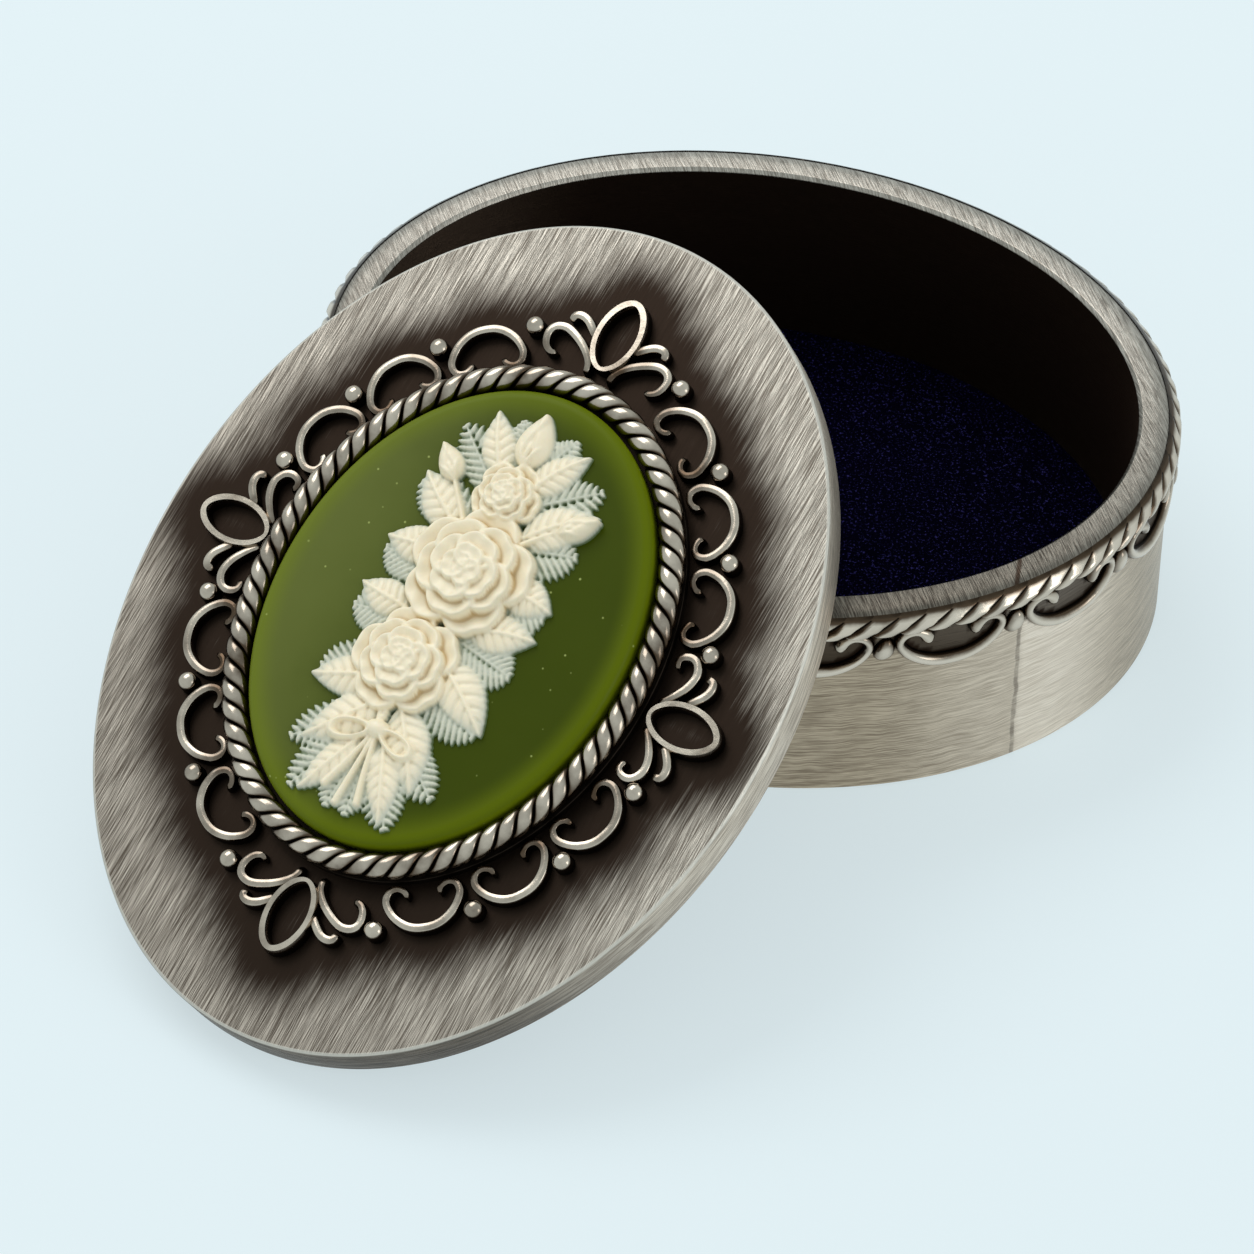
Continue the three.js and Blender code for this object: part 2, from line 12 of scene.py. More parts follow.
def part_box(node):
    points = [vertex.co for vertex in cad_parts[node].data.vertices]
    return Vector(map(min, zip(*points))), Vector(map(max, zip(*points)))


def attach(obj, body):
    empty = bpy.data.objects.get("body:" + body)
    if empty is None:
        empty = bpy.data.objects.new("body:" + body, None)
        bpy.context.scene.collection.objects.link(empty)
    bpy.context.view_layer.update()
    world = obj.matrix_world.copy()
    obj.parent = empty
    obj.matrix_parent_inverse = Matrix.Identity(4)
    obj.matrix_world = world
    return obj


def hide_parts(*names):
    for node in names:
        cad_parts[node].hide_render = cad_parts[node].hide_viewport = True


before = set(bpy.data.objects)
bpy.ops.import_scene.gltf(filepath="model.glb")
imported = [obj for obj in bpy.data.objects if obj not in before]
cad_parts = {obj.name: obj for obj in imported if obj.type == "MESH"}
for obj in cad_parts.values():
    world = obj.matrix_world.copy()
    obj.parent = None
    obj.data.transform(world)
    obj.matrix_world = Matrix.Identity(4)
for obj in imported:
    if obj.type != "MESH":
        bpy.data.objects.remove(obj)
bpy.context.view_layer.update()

MM = 0.001

# Sizes shared with the part's source
BOX_HALF_LENGTH = 35.3
BOX_HALF_WIDTH = 27.3
BOX_HEIGHT = 20.2
WALL = 2.8
FLOOR_TOP = 1.6
PAD_TOP = 3.3
PAD_INSET = 3.2
LID_HALF_LENGTH = 36.2
LID_HALF_WIDTH = 28.2
LID_THICKNESS = 3.7
LID_SLOPE = 27.1
LID_FACING = -111.7
LID_TURN = -3.6
RING_INSET = 4.1
RING_THICKNESS = 1.6
RING_DEPTH = 1.8
CAMEO_HALF_LENGTH = 19.9
CAMEO_HALF_WIDTH = 15.45
SETTING_SHIFT = 0.4
PLATE_TOP = 0.75
ROPE_GAP = 0.25
ROPE_WIDTH = 1.9
TABLET_TOP = 3.0
ROPE_STRANDS = 70
WIRE_WIDTH = 0.8
WIRE_TOP = 1.15
CURL_OUT = 0.3 + WIRE_WIDTH / 2
SCROLL_HEIGHT = 4.3
SCROLLS_PER_QUARTER = 3
SCROLL_SIDE_GAP = 0.07
GRAIN_TOP = 1.6
GRAIN_OUTS = (3.35, 2.9, 2.85, 2.75)
FINIAL_LENGTH = 6.65
FINIAL_WIDTH = 4.2
FINIAL_FOOT_WIRE = 0.5
FINIAL_TIP_WIRE = 0.7
FINIAL_HOLE_WIDTH = 2.85
FINIAL_TOP = 1.3
FINIAL_OUT = 0.6
END_FINIAL_OUT = 1.25
FINIAL_SPANS = (0.88, 0.85)
GALLERY_REPEATS = 18
STRANDS_PER_REPEAT = 5
GALLERY_ROPE_FOOT = 18.13
GALLERY_SCROLL_TOP = 18.88
GALLERY_SCROLL_WIDTH = 9.55
GALLERY_SCROLL_HEIGHT = 4.6
GALLERY_WIRE = 0.9
GALLERY_DEPTH = 0.72
SEAM_ANGLE = -41.0
SPRAY_LENGTH = 36.0

# Sizes that are nearer to the real trim than the solids'
GRAIN_RADIUS = 0.79
ROPE_SHIFT = 0.1
ROPE_SPREAD = 1.12
GALLERY_SCROLL_DROP = 0.25
GALLERY_BEAD_DROP = 1.55
GALLERY_BEAD_LENGTH = 2.3
GALLERY_BEAD_WIDTH = 1.75

# How far castings sink into what carries them, and the facets of the smooth surfaces
CAST_FOOT = -0.02
ROUND = 288
LID_ROUND = 360
WALL_ROUND = 540

# Camera of the photograph, in millimetres and degrees
CAMERA_LENS = 170.4
CAMERA_SENSOR = 36.0
CAMERA_DISTANCE = 496.2
CAMERA_AZIMUTH = 15.23
CAMERA_ELEVATION = 46.45
CAMERA_TARGET = (-7.02, -11.75, 0.0)


def linear(red, green, blue):
    """Linear colour of an 8-bit sRGB one."""
    def channel(value):
        share = value / 255
        return share / 12.92 if share <= 0.04045 else ((share + 0.055) / 1.055) ** 2.4
    return (channel(red), channel(green), channel(blue), 1.0)


# Node trees

class Field:
    """An output socket that plain arithmetic works on: each step is a Math node in the socket's own tree."""

    def __init__(self, socket):
        self.socket = socket
        self.tree = socket.id_data

    def __add__(self, other):
        return calc("ADD", self, other)

    def __sub__(self, other):
        return calc("SUBTRACT", self, other)

    def __rsub__(self, other):
        return calc("SUBTRACT", other, self)

    def __mul__(self, other):
        return calc("MULTIPLY", self, other)

    def __truediv__(self, other):
        return calc("DIVIDE", self, other)

    def __pow__(self, other):
        return calc("POWER", self, other)


def fill(socket, value):
    """Gives a socket its value, or a link from a field or another socket."""
    if isinstance(value, Field):
        value = value.socket
    if isinstance(value, bpy.types.NodeSocket):
        socket.id_data.links.new(value, socket)
    else:
        socket.default_value = value


def add(tree, kind, inputs=None, **props):
    """Adds a node with its properties and inputs."""
    node = tree.nodes.new(kind)
    for name, value in props.items():
        setattr(node, name, value)
    for key, value in (inputs or {}).items():
        fill(node.inputs[key], value)
    return node


def result(tree, kind, inputs=None, output=0, **props):
    """One output of a new node, as a field."""
    return Field(add(tree, kind, inputs, **props).outputs[output])


def calc(operation, *values):
    """Result of a Math node."""
    tree = next(value.tree for value in values if isinstance(value, Field))
    return result(tree, "ShaderNodeMath", dict(enumerate(values)), operation=operation)


def vectors(operation, first, second=(0, 0, 0), output=0):
    """Result of a Vector Math node."""
    return result(first.tree, "ShaderNodeVectorMath", {0: first, 1: second}, output, operation=operation)


def along(place, direction):
    """How far a place lies along a direction."""
    return vectors("DOT_PRODUCT", place, direction, "Value")


def combined(tree, x=0.0, y=0.0, z=0.0):
    return result(tree, "ShaderNodeCombineXYZ", {0: x, 1: y, 2: z})


def components(vector):
    """The X, Y and Z of a vector."""
    return [Field(socket) for socket in add(vector.tree, "ShaderNodeSeparateXYZ", {0: vector}).outputs]


def turned(vector, degrees):
    """Coordinates turned about Z."""
    return result(vector.tree, "ShaderNodeVectorRotate", {"Vector": vector, "Angle": math.radians(degrees)},
                  rotation_type="Z_AXIS")


def attribute(tree, name):
    """A value that the mesh keeps at its points."""
    return result(tree, "ShaderNodeAttribute", output="Fac", attribute_name=name)


def smooth(value, low, high):
    """0 below low, 1 above high and a smooth rise between."""
    return result(value.tree, "ShaderNodeMapRange", {"Value": value, "From Min": low, "From Max": high},
                  interpolation_type="SMOOTHSTEP")


def between(share, first, second):
    """Mix of two numbers."""
    return result(share.tree, "ShaderNodeMix", {"Factor": share, 2: first, 3: second})


def blend(share, first, second):
    """Mix of two colours, each a field or 8-bit sRGB numbers."""
    first, second = (value if isinstance(value, Field) else linear(*value) for value in (first, second))
    return result(share.tree, "ShaderNodeMix", {"Factor": share, 6: first, 7: second}, 2, data_type="RGBA")


def toned(faces, light, low, high):
    """Colour of brushed metal in its grooves and on its faces, each from a dull place to a bright one by
    painted light.
    """
    return blend(faces, blend(light, *low), blend(light, *high))


def noise(vector, scale, detail=3.0, rough=0.55, stretch=None):
    """Noise on coordinates in millimetres; stretch multiplies them along each axis."""
    if stretch:
        vector = vectors("MULTIPLY", vector, stretch)
    return result(vector.tree, "ShaderNodeTexNoise",
                  {"Vector": vector, "Scale": scale, "Detail": detail, "Roughness": rough}, "Fac")


def brushing(place, degrees, stretch, detail=2.0, rough=0.7):
    """Strokes along X, turned a little."""
    return noise(turned(place, degrees), 1.0, detail, rough, stretch)


def millimetres(tree, place=None):
    """Object coordinates in millimetres, of the row or of the leaning lid."""
    mapping = add(tree, "ShaderNodeMapping",
                  {"Vector": result(tree, "ShaderNodeTexCoord", output="Object"), "Scale": (MM, MM, MM)},
                  vector_type="TEXTURE")
    if place is not None:
        mapping.inputs["Location"].default_value = place.to_translation()
        mapping.inputs["Rotation"].default_value = place.to_euler()
    return Field(mapping.outputs[0])


def material(name, **sockets):
    """A material with a Principled shader, and its tree and shader."""
    mat = bpy.data.materials.new(name)
    mat.use_nodes = True
    tree = mat.node_tree
    shader = tree.nodes["Principled BSDF"]
    for key, value in sockets.items():
        shader.inputs[key.replace("_", " ")].default_value = value
    return mat, tree, shader


def bump(shader, height, distance, strength):
    """Bump of a height in millimetres times distance."""
    fill(shader.inputs["Normal"], result(
        height.tree, "ShaderNodeBump", {"Height": height, "Distance": distance * MM, "Strength": strength}))


# Meshes

def linked(name, mesh):
    """An object of a mesh, in the scene."""
    piece = bpy.data.objects.new(name, mesh)
    bpy.context.scene.collection.objects.link(piece)
    return piece


def eased(value, low, high):
    """0 below low, 1 above high and a smooth rise between, on numbers and arrays."""
    share = np.clip((value - low) / (high - low), 0, 1)
    return share * share * (3 - 2 * share)


def new_piece(name, points, faces, mat, attributes=None, sharp=35, place=None):
    """A mesh object from points in millimetres; place moves the points, in metres, into the row frame."""
    mesh = bpy.data.meshes.new(name)
    points = np.asarray(points, dtype=float).reshape(-1, 3) * MM
    mesh.from_pydata(points.tolist(), [], faces)
    for key, values in (attributes or {}).items():
        layer = mesh.attributes.new(key, "FLOAT", "POINT")
        layer.data.foreach_set("value", np.asarray(values, dtype=np.float32).ravel())
    if place is not None:
        mesh.transform(place)
    mesh.update()
    mesh.polygons.foreach_set("use_smooth", [True] * len(mesh.polygons))
    if sharp:
        mesh.set_sharp_from_angle(angle=math.radians(sharp))
    mesh.materials.append(mat)
    return linked(name, mesh)


def lofted(rings, closed=False):
    """Faces that join closed rings of equal count; the rings close on themselves or are capped."""
    count, sides = len(rings), len(rings[0])
    faces = []
    for i in range(count if closed else count - 1):
        low, high = i * sides, ((i + 1) % count) * sides
        for j in range(sides):
            k = (j + 1) % sides
            faces.append((low + j, low + k, high + k, high + j))
    if not closed:
        faces.append(tuple(range(sides))[::-1])
        faces.append(tuple(range((count - 1) * sides, count * sides)))
    return faces


def in_rings(points, count):
    """Points split into rings of so many."""
    return [points[i:i + count] for i in range(0, len(points), count)]


def oval_rings(half_length, half_width, profile, segments=ROUND):
    """One oval ring for each [inset, z] of the profile."""
    turn = np.linspace(0, 2 * math.pi, segments, endpoint=False)
    rings = [(half_length - inset, half_width - inset, z) for inset, z in profile]
    return np.array([[(long * math.cos(a), wide * math.sin(a), z) for a in turn] for long, wide, z in rings])


def rounded(corners, steps):
    """A profile with its corners rounded; corners are [across, up, radius] of a closed loop."""
    line = []
    for i, (x, y, radius) in enumerate(corners):
        point = Vector((x, y))
        if not radius:
            line.append((x, y))
            continue
        before = (Vector(corners[i - 1][:2]) - point).normalized() * radius
        after = (Vector(corners[(i + 1) % len(corners)][:2]) - point).normalized() * radius
        for k in range(steps + 1):
            t = k / steps
            bent = point + before * (1 - t) ** 2 + after * t ** 2
            line.append((bent.x, bent.y))
    return line


def way_along(line):
    """The way run to each point of a line."""
    return np.concatenate([[0], np.cumsum(np.linalg.norm(np.diff(line, axis=0), axis=1))])


def spline(points, count):
    """Evenly spaced points on a smooth curve through the given ones."""
    given = np.asarray(points, dtype=float)
    ends = np.vstack([2 * given[0] - given[1], given, 2 * given[-1] - given[-2]])
    line = []
    for i in range(1, len(ends) - 2):
        a, b, c, d = ends[i - 1:i + 3]
        square, cube = 2 * a - 5 * b + 4 * c - d, 3 * b - a - 3 * c + d
        for t in np.linspace(0, 1, 24, endpoint=False):
            line.append(0.5 * (2 * b + (c - a) * t + square * t ** 2 + cube * t ** 3))
    line.append(given[-1])
    line = np.array(line)
    run = way_along(line)
    even = np.linspace(0, run[-1], count)
    return np.column_stack([np.interp(even, run, line[:, k]) for k in range(line.shape[1])])


# Cross-sections: how far across, how far up and how worn (above 1: a painted highlight), all in shares.
# Across counts half widths from the middle of a wire, and widths from the outer edge of a band
WIRE_SIDE = ((1.0, 0.0, 0.0), (0.98, 0.6, 0.2), (0.92, 0.84, 0.95), (0.8, 0.96, 1.12), (0.64, 1.0, 1.0))
WIRE_SECTION = tuple((-reach, up, worn) for reach, up, worn in WIRE_SIDE) + WIRE_SIDE[::-1]
ROUND_SECTION = tuple((-math.cos(a), math.sin(a) ** 0.8, 1.25 * math.sin(a) ** 1.1)
                      for a in np.linspace(0, math.pi, 13))
BAND_SIDE = ((0, 0, 0), (0.02, 0.6, 0.2), (0.07, 0.86, 1.12), (0.18, 1, 1))
BAND_SECTION = BAND_SIDE + tuple((1 - share, up, worn) for share, up, worn in BAND_SIDE[::-1])


def wire(path, widths, top, foot=CAST_FOOT, section=WIRE_SECTION, tip_wear=1.0):
    """Points, faces and wear of a flat-backed cast wire along a plane path, less worn at its curled tips."""
    path = np.asarray(path)
    ahead = np.gradient(path, axis=0)
    ahead /= np.linalg.norm(ahead, axis=1)[:, None]
    side = np.column_stack([ahead[:, 1], -ahead[:, 0]])
    t = np.linspace(0, 1, len(path))
    wear = tip_wear + (1 - tip_wear) * eased(np.minimum(t, 1 - t), 0.1, 0.36)
    points, crown = [], []
    for point, across, width, share in zip(path, side, widths, wear):
        tall = (top - foot) * min(1.0, (width / np.max(widths)) ** 0.35)
        for reach, up, worn in section:
            points.append((*(point + across * reach * width / 2), foot + up * tall))
            crown.append(worn * share)
    return points, lofted(in_rings(points, len(section))), crown


def tapered(count, width, tip, length=0.035):
    """Widths along a wire that narrows to a share of its width at both ends and is rounded there."""
    t = np.linspace(0, 1, count)
    end = np.minimum(t, 1 - t)
    narrow = 1 - (1 - tip) * np.abs(2 * t - 1) ** 2.5
    return width * narrow * np.sqrt(np.clip(1 - (1 - np.clip(end / length, 0, 1)) ** 2, 0.03, 1))


def band(outer, inner, top, foot=CAST_FOOT):
    """A flat band between two closed outlines of as many points, rounded at its edges."""
    points, crown = [], []
    for a, b in zip(outer, inner):
        for share, up, worn in BAND_SECTION:
            points.append((*(a + (b - a) * share), foot + up * (top - foot)))
            crown.append(worn)
    return points, [face[::-1] for face in lofted(in_rings(points, len(BAND_SECTION)), closed=True)], crown


def merged(parts):
    """Joins several (points, faces, crown) into one."""
    points, faces, crown = [], [], []
    for some, their, wear in parts:
        start = len(points)
        points.extend(map(tuple, some))
        faces.extend(tuple(start + k for k in face) for face in their)
        crown.extend(wear)
    return points, faces, crown


def oval_run(half_length, half_width):
    """Angle, and the way run along the oval from +X to there."""
    turn = np.linspace(0, 2 * math.pi, 4321)
    return turn, way_along(np.column_stack([half_length * np.cos(turn), half_width * np.sin(turn)]))


def oval_length(half_length, half_width):
    return float(oval_run(half_length, half_width)[1][-1])


# Geometry nodes that repeat a piece

def new_tree(name, inputs):
    """A geometry tree with those inputs, its group input's sockets and a function that ends it."""
    tree = bpy.data.node_groups.new(name, "GeometryNodeTree")
    for label, kind in (inputs | {"Material": "Material"}).items():
        tree.interface.new_socket(label, in_out="INPUT", socket_type="NodeSocket" + kind)
    tree.interface.new_socket("Geometry", in_out="OUTPUT", socket_type="NodeSocketGeometry")
    given = tree.nodes.new("NodeGroupInput").outputs

    def end(geometry):
        painted = {"Geometry": geometry, "Material": given["Material"]}
        add(tree, "NodeGroupOutput", {"Geometry": result(tree, "GeometryNodeSetMaterial", painted)})
    return tree, given, end


def round_oval_tree():
    """Repeats a piece evenly along X and wraps the row round an oval: Y goes outwards and Z stays up."""
    tree, given, end = new_tree("row_round_an_oval", {
        "Piece": "Object", "Repeats": "Int", "Half length": "Float", "Half width": "Float", "Start": "Float"})
    circle = result(tree, "GeometryNodeCurvePrimitiveCircle", {"Resolution": 1440, "Radius": 1.0})
    scale = combined(tree, given["Half length"], given["Half width"], 1.0)
    oval = result(tree, "GeometryNodeTransform", {"Geometry": circle, "Scale": scale})
    length = result(tree, "GeometryNodeCurveLength", {0: oval})
    step = combined(tree, length / given["Repeats"])
    row = result(tree, "GeometryNodeMeshLine", {"Count": given["Repeats"], "Offset": step})
    piece = result(tree, "GeometryNodeObjectInfo", {"Object": given["Piece"]}, "Geometry")
    repeated = result(tree, "GeometryNodeInstanceOnPoints", {"Points": row, "Instance": piece})
    real = result(tree, "GeometryNodeRealizeInstances", {0: repeated})
    x, y, z = components(result(tree, "GeometryNodeInputPosition"))
    run = calc("FLOORED_MODULO", x + given["Start"], length)
    sample = add(tree, "GeometryNodeSampleCurve", {"Curves": oval, "Length": run}, mode="LENGTH").outputs
    outwards = vectors("NORMALIZE", vectors("CROSS_PRODUCT", Field(sample["Tangent"]), (0, 0, 1)))
    out = result(tree, "ShaderNodeVectorMath", {0: outwards, "Scale": y}, operation="SCALE")
    place = vectors("ADD", vectors("ADD", Field(sample["Position"]), out), combined(tree, z=z))
    end(result(tree, "GeometryNodeSetPosition", {"Geometry": real, "Position": place}))
    return tree


def on_places_tree():
    """Sets a piece on every point of a mesh, turned about Z by the point's own turn."""
    tree, given, end = new_tree("set_on_places", {"Places": "Object", "Piece": "Object"})
    places, piece = (result(tree, "GeometryNodeObjectInfo", {"Object": given[name]}, "Geometry")
                     for name in ("Places", "Piece"))
    turn = result(tree, "GeometryNodeInputNamedAttribute", {"Name": "turn"}, data_type="FLOAT")
    rotation = result(tree, "FunctionNodeEulerToRotation", {0: combined(tree, z=turn)})
    repeated = result(tree, "GeometryNodeInstanceOnPoints",
                      {"Points": places, "Instance": piece, "Rotation": rotation})
    end(result(tree, "GeometryNodeRealizeInstances", {0: repeated}))
    return tree


def grown(name, tree, values, place=None, used=()):
    """The plain mesh that a geometry tree makes from those inputs, as a new object."""
    host = linked(name + "_host", bpy.data.meshes.new(name + "_host"))
    modifier = host.modifiers.new("nodes", "NODES")
    modifier.node_group = tree
    for item in tree.interface.items_tree:
        if item.item_type == "SOCKET" and item.in_out == "INPUT":
            modifier[item.identifier] = values[item.name]
    depsgraph = bpy.context.evaluated_depsgraph_get()
    mesh = bpy.data.meshes.new_from_object(
        host.evaluated_get(depsgraph), preserve_all_data_layers=True, depsgraph=depsgraph)
    mesh.name = name
    if place is not None:
        mesh.transform(place)
    piece = linked(name, mesh)
    host.modifiers.remove(modifier)
    for spare in (host, *used):
        bpy.data.objects.remove(spare)
    return piece


# The lid's frame, as in the part's source

def lid_frame():
    slope, facing, turn = (math.radians(a) for a in (LID_SLOPE, LID_FACING, LID_TURN))
    normal = Vector((math.sin(slope) * math.cos(facing), math.sin(slope) * math.sin(facing), math.cos(slope)))
    across = Vector((0, 0, 1)).cross(normal).normalized()
    uphill = normal.cross(across)
    long = uphill * math.cos(turn) + across * math.sin(turn)
    wide = normal.cross(long)
    low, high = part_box("lid_plate")
    matrix = Matrix((long, wide, normal)).transposed().to_4x4()
    matrix.translation = (Vector(low) + Vector(high)) / 2 + normal * LID_THICKNESS / 2 * MM
    return matrix


LID = lid_frame()
SETTING = LID @ Matrix.Translation((SETTING_SHIFT * MM, 0, 0))

# Finishes. Their colours are 8-bit ones, as the photograph shows them
SKY = linear(229, 243, 247)
DARK_PATINA = (40, 31, 25)
BLACK_PATINA = (20, 15, 12)
# Directions in which painted light makes the lid's face and its side brighter
ALONG_FRONT = (0.75, -0.66, 0)
ALONG_FLANK = (0.35, -0.94, 0)


def lid_metal():
    """Brushed along the lid's length and round its side, with the dark patina left round the filigree;
    painted light and a painted edge highlight.
    """
    mat, tree, shader = material("brushed_pewter_lid", Metallic=1.0)
    place = millimetres(tree, LID)
    broad = brushing(place, 3, (0.12, 8.5, 1.0)) + brushing(place, -4, (0.16, 12.0, 1.0))
    strokes = broad * 0.33 + brushing(place, 0.5, (0.22, 18.0, 1.0), 1.0, 0.6) * 0.34
    round_side = noise(place, 1.0, 3.0, 0.6, (0.25, 0.25, 9.0))
    side = attribute(tree, "side")
    brushed = smooth(between(side, strokes, round_side), 0.41, 0.59)
    halo = attribute(tree, "halo")
    ragged = halo + (brushing(place, 2, (0.14, 9.0, 1.0)) - 0.5) * 0.85
    patina = smooth(ragged, 0.04, 0.84) * smooth(halo, 0.0, 0.22)
    # painted light: the face is coloured brighter towards ALONG_FRONT, standing in for how the light falls
    painted_light_face = smooth(along(place, ALONG_FRONT), -27.0, 22.0)
    face = toned(brushed, painted_light_face, ((80, 70, 61), (98, 88, 78)), ((179, 167, 154), (196, 186, 173)))
    # painted reflection: the lid's side is coloured brighter towards ALONG_FLANK, standing in for light
    # reflected from the right
    painted_reflection_flank = smooth(along(place, ALONG_FLANK), 6.0, 25.0)
    flank = toned(brushed, painted_reflection_flank, ((58, 49, 40), (172, 156, 140)), ((103, 89, 74), (232, 216, 198)))
    metal = blend(patina, blend(side, face, flank), DARK_PATINA)
    # painted highlight: a near-white line along the top edge, from the edge attribute
    fill(shader.inputs["Base Color"], blend(attribute(tree, "edge"), metal, (206, 199, 188)))
    fill(shader.inputs["Roughness"], (1.0 - brushed) * 0.12 + 0.36)
    bump(shader, brushed * (1.0 - patina), 0.018, 0.6)
    return mat


def from_seam(place):
    """How far a point lies from the seam along the wall and along the outward direction, in millimetres."""
    angle = math.radians(SEAM_ANGLE)
    spot = (BOX_HALF_LENGTH * math.cos(angle), BOX_HALF_WIDTH * math.sin(angle), 0)
    ahead = Vector((-BOX_HALF_LENGTH * math.sin(angle), BOX_HALF_WIDTH * math.cos(angle), 0)).normalized()
    offset = vectors("SUBTRACT", place, spot)
    return along(offset, ahead), along(offset, (ahead.y, -ahead.x, 0))


def mark(distance, half_width):
    """1 on a line and 0 beside it."""
    return 1.0 - smooth(calc("ABSOLUTE", distance), half_width * 0.4, half_width)


def wall_metal():
    """Brushed round the wall, across on its rim, dark between the scrolls and inside, marked at its seam;
    painted light on wall, rim and inside.
    """
    mat, tree, shader = material("brushed_pewter_box", Metallic=1.0)
    place = millimetres(tree)
    sway = (noise(place, 0.3, 2.0) - 0.5) * 0.8
    swayed = vectors("ADD", place, combined(tree, z=sway))
    hair = noise(swayed, 1.0, 2.0, 0.6, (0.45, 0.45, 15.0))
    level = noise(swayed, 1.0, 3.0, 0.7, (0.22, 0.22, 8.0)) * 0.55 + hair * 0.45
    cross = brushing(place, 57, (0.5, 8.0, 1.0), 3.0) * 0.6 + 0.2
    rim = attribute(tree, "rim")
    brushed = smooth(between(rim, level, cross), 0.36, 0.65)
    # the patina attribute also carries painted shade along the gallery's scroll wires
    patina = attribute(tree, "patina")
    ragged = smooth(patina + (level - 0.5) * 0.6, 0.05, 0.95) * smooth(patina, 0.01, 0.12)
    run, out = from_seam(place)
    near = smooth(out, -8.0, -3.0)
    wander = (noise(place, 0.5, 3.0) - 0.5) * 0.5
    line = mark(run - 0.65 + wander, 0.27) * smooth(noise(place, 0.8, 3.0), 0.15, 0.6)
    nick = mark(run + wander + out * 0.7, 0.3) * near * rim
    seam = calc("MAXIMUM", line * near * (1.0 - rim) * 0.52, nick * 0.8)
    # painted highlight: the outer wall is coloured brighter up to the seam and just right of it, fading away
    rising = smooth(run, -13.0, 0.5) * 0.52 + smooth(run, 0.2, 1.4) * 0.48
    painted_highlight_seam = rising * near * (1.0 - smooth(run, 4.0, 15.0) * 0.85)
    metal = toned(brushed, painted_highlight_seam, ((133, 117, 98), (214, 196, 177)), ((201, 182, 158), (252, 236, 219)))
    x, y, _ = components(place)
    # painted light: the rim's top is coloured brighter towards the back
    painted_light_rim_rear = smooth(y, -27.0, 20.0)
    top = toned(brushed, painted_light_rim_rear, ((46, 39, 33), (112, 104, 95)), ((118, 110, 99), (188, 180, 169)))
    # painted light: the inside wall is coloured lighter towards the left end, over its dark patina
    within = blend(smooth(x, -18.0, -33.0), (62, 47, 37), (128, 106, 88))
    dark = blend(attribute(tree, "inside"), (46, 33, 24), within)
    metal = blend(ragged, blend(rim, metal, top), dark)
    fill(shader.inputs["Base Color"], blend(seam, metal, (48, 32, 22)))
    fill(shader.inputs["Roughness"], ragged * 0.2 + 0.34)
    bump(shader, brushed, 0.02, 0.6)
    return mat


def trim_metal():
    """Cast trim, polished on its high spots and dark in its hollows, with a painted highlight where the crown
    passes 1.
    """
    mat, tree, shader = material("antiqued_trim", Metallic=1.0)
    place = millimetres(tree)
    crown = attribute(tree, "crown")
    mottle = noise(place, 1.3, 4.0, 0.6) - 0.5
    soft = noise(place, 0.22, 2.0) - 0.5
    worn = smooth(crown + mottle * 0.2, 0.12, 0.62)
    metal = blend(smooth(crown + (soft * 1.1 + mottle * 0.3), 0.55, 1.25), (76, 61, 48), (192, 179, 163))
    # painted highlight: crown above 1, on bevels, ridges and bead tops, is coloured near white
    metal = blend(smooth(crown, 1.02, 1.3), metal, (222, 209, 193))
    metal = blend(smooth(crown, 0.25, 0.75), (84, 69, 54), metal)
    fill(shader.inputs["Base Color"], blend(worn, BLACK_PATINA, metal))
    fill(shader.inputs["Roughness"], 0.4 - worn * 0.21)
    bump(shader, noise(place, 2.6, 4.0), 0.02, 0.4)
    return mat


def dark_metal():
    """Bezel plate and the ring under the lid."""
    mat, tree, shader = material("dark_pewter", Metallic=1.0)
    mottle = noise(millimetres(tree, LID), 1.2, 4.0)
    fill(shader.inputs["Base Color"], blend(mottle, BLACK_PATINA, (52, 44, 37)))
    fill(shader.inputs["Roughness"], mottle * 0.2 + 0.4)
    return mat


def velvet():
    """Navy pile with a soft nap and lighter flecks."""
    mat, tree, shader = material("navy_velvet", Roughness=1.0, Specular_IOR_Level=0.0, Sheen_Weight=0.04,
                                 Sheen_Roughness=0.5, Sheen_Tint=linear(60, 60, 130))
    place = millimetres(tree)
    pile = noise(place, 4.5, 2.0, 0.7)
    base = blend(noise(place, 0.35, 3.0), (2, 2, 8), (5, 4, 19))
    fill(shader.inputs["Base Color"], blend(smooth(pile, 0.56, 0.74), base, (52, 50, 108)))
    bump(shader, pile, 0.25, 1.0)
    return mat


def tablet_resin():
    """Green resin, brighter at its rounded edge by painted light, with a painted sheen, specks and bubbles.
    """
    mat, tree, shader = material("green_resin", Roughness=0.3, IOR=1.45, Specular_IOR_Level=0.06)
    place = millimetres(tree, SETTING)
    x, y, _ = components(place)
    reach = calc("SQRT", (x / CAMEO_HALF_LENGTH) ** 2.0 + (y / CAMEO_HALF_WIDTH) ** 2.0)
    # painted light: the rounded edge is coloured brighter green
    edge = smooth(reach, 0.84, 1.0) * 0.5 + smooth(reach, 0.985, 1.0) * 0.3
    cloud = noise(place, 0.12, 3.0)
    # painted sheen: the resin is coloured paler towards +Y, standing in for a lamp's broad reflection
    painted_sheen = smooth(y + (cloud - 0.5) * 8.0, -4.0, 15.0)
    body = blend(painted_sheen, blend(cloud, (56, 68, 4), (64, 77, 8)), (98, 108, 50))
    painted_edge_light = blend(edge, body, (118, 134, 14))
    cells = add(tree, "ShaderNodeTexVoronoi", {"Vector": place, "Scale": 0.7, "Randomness": 1.0}).outputs
    few = smooth(result(tree, "ShaderNodeSeparateColor", {0: cells["Color"]}), 0.4, 0.45)
    speck = few * (1.0 - smooth(Field(cells["Distance"]), 0.03, 0.1))
    fill(shader.inputs["Base Color"], blend(speck * 0.6, painted_edge_light, (190, 204, 120)))
    bump(shader, cloud * 2.0 + speck, 0.04, 0.5)
    return mat


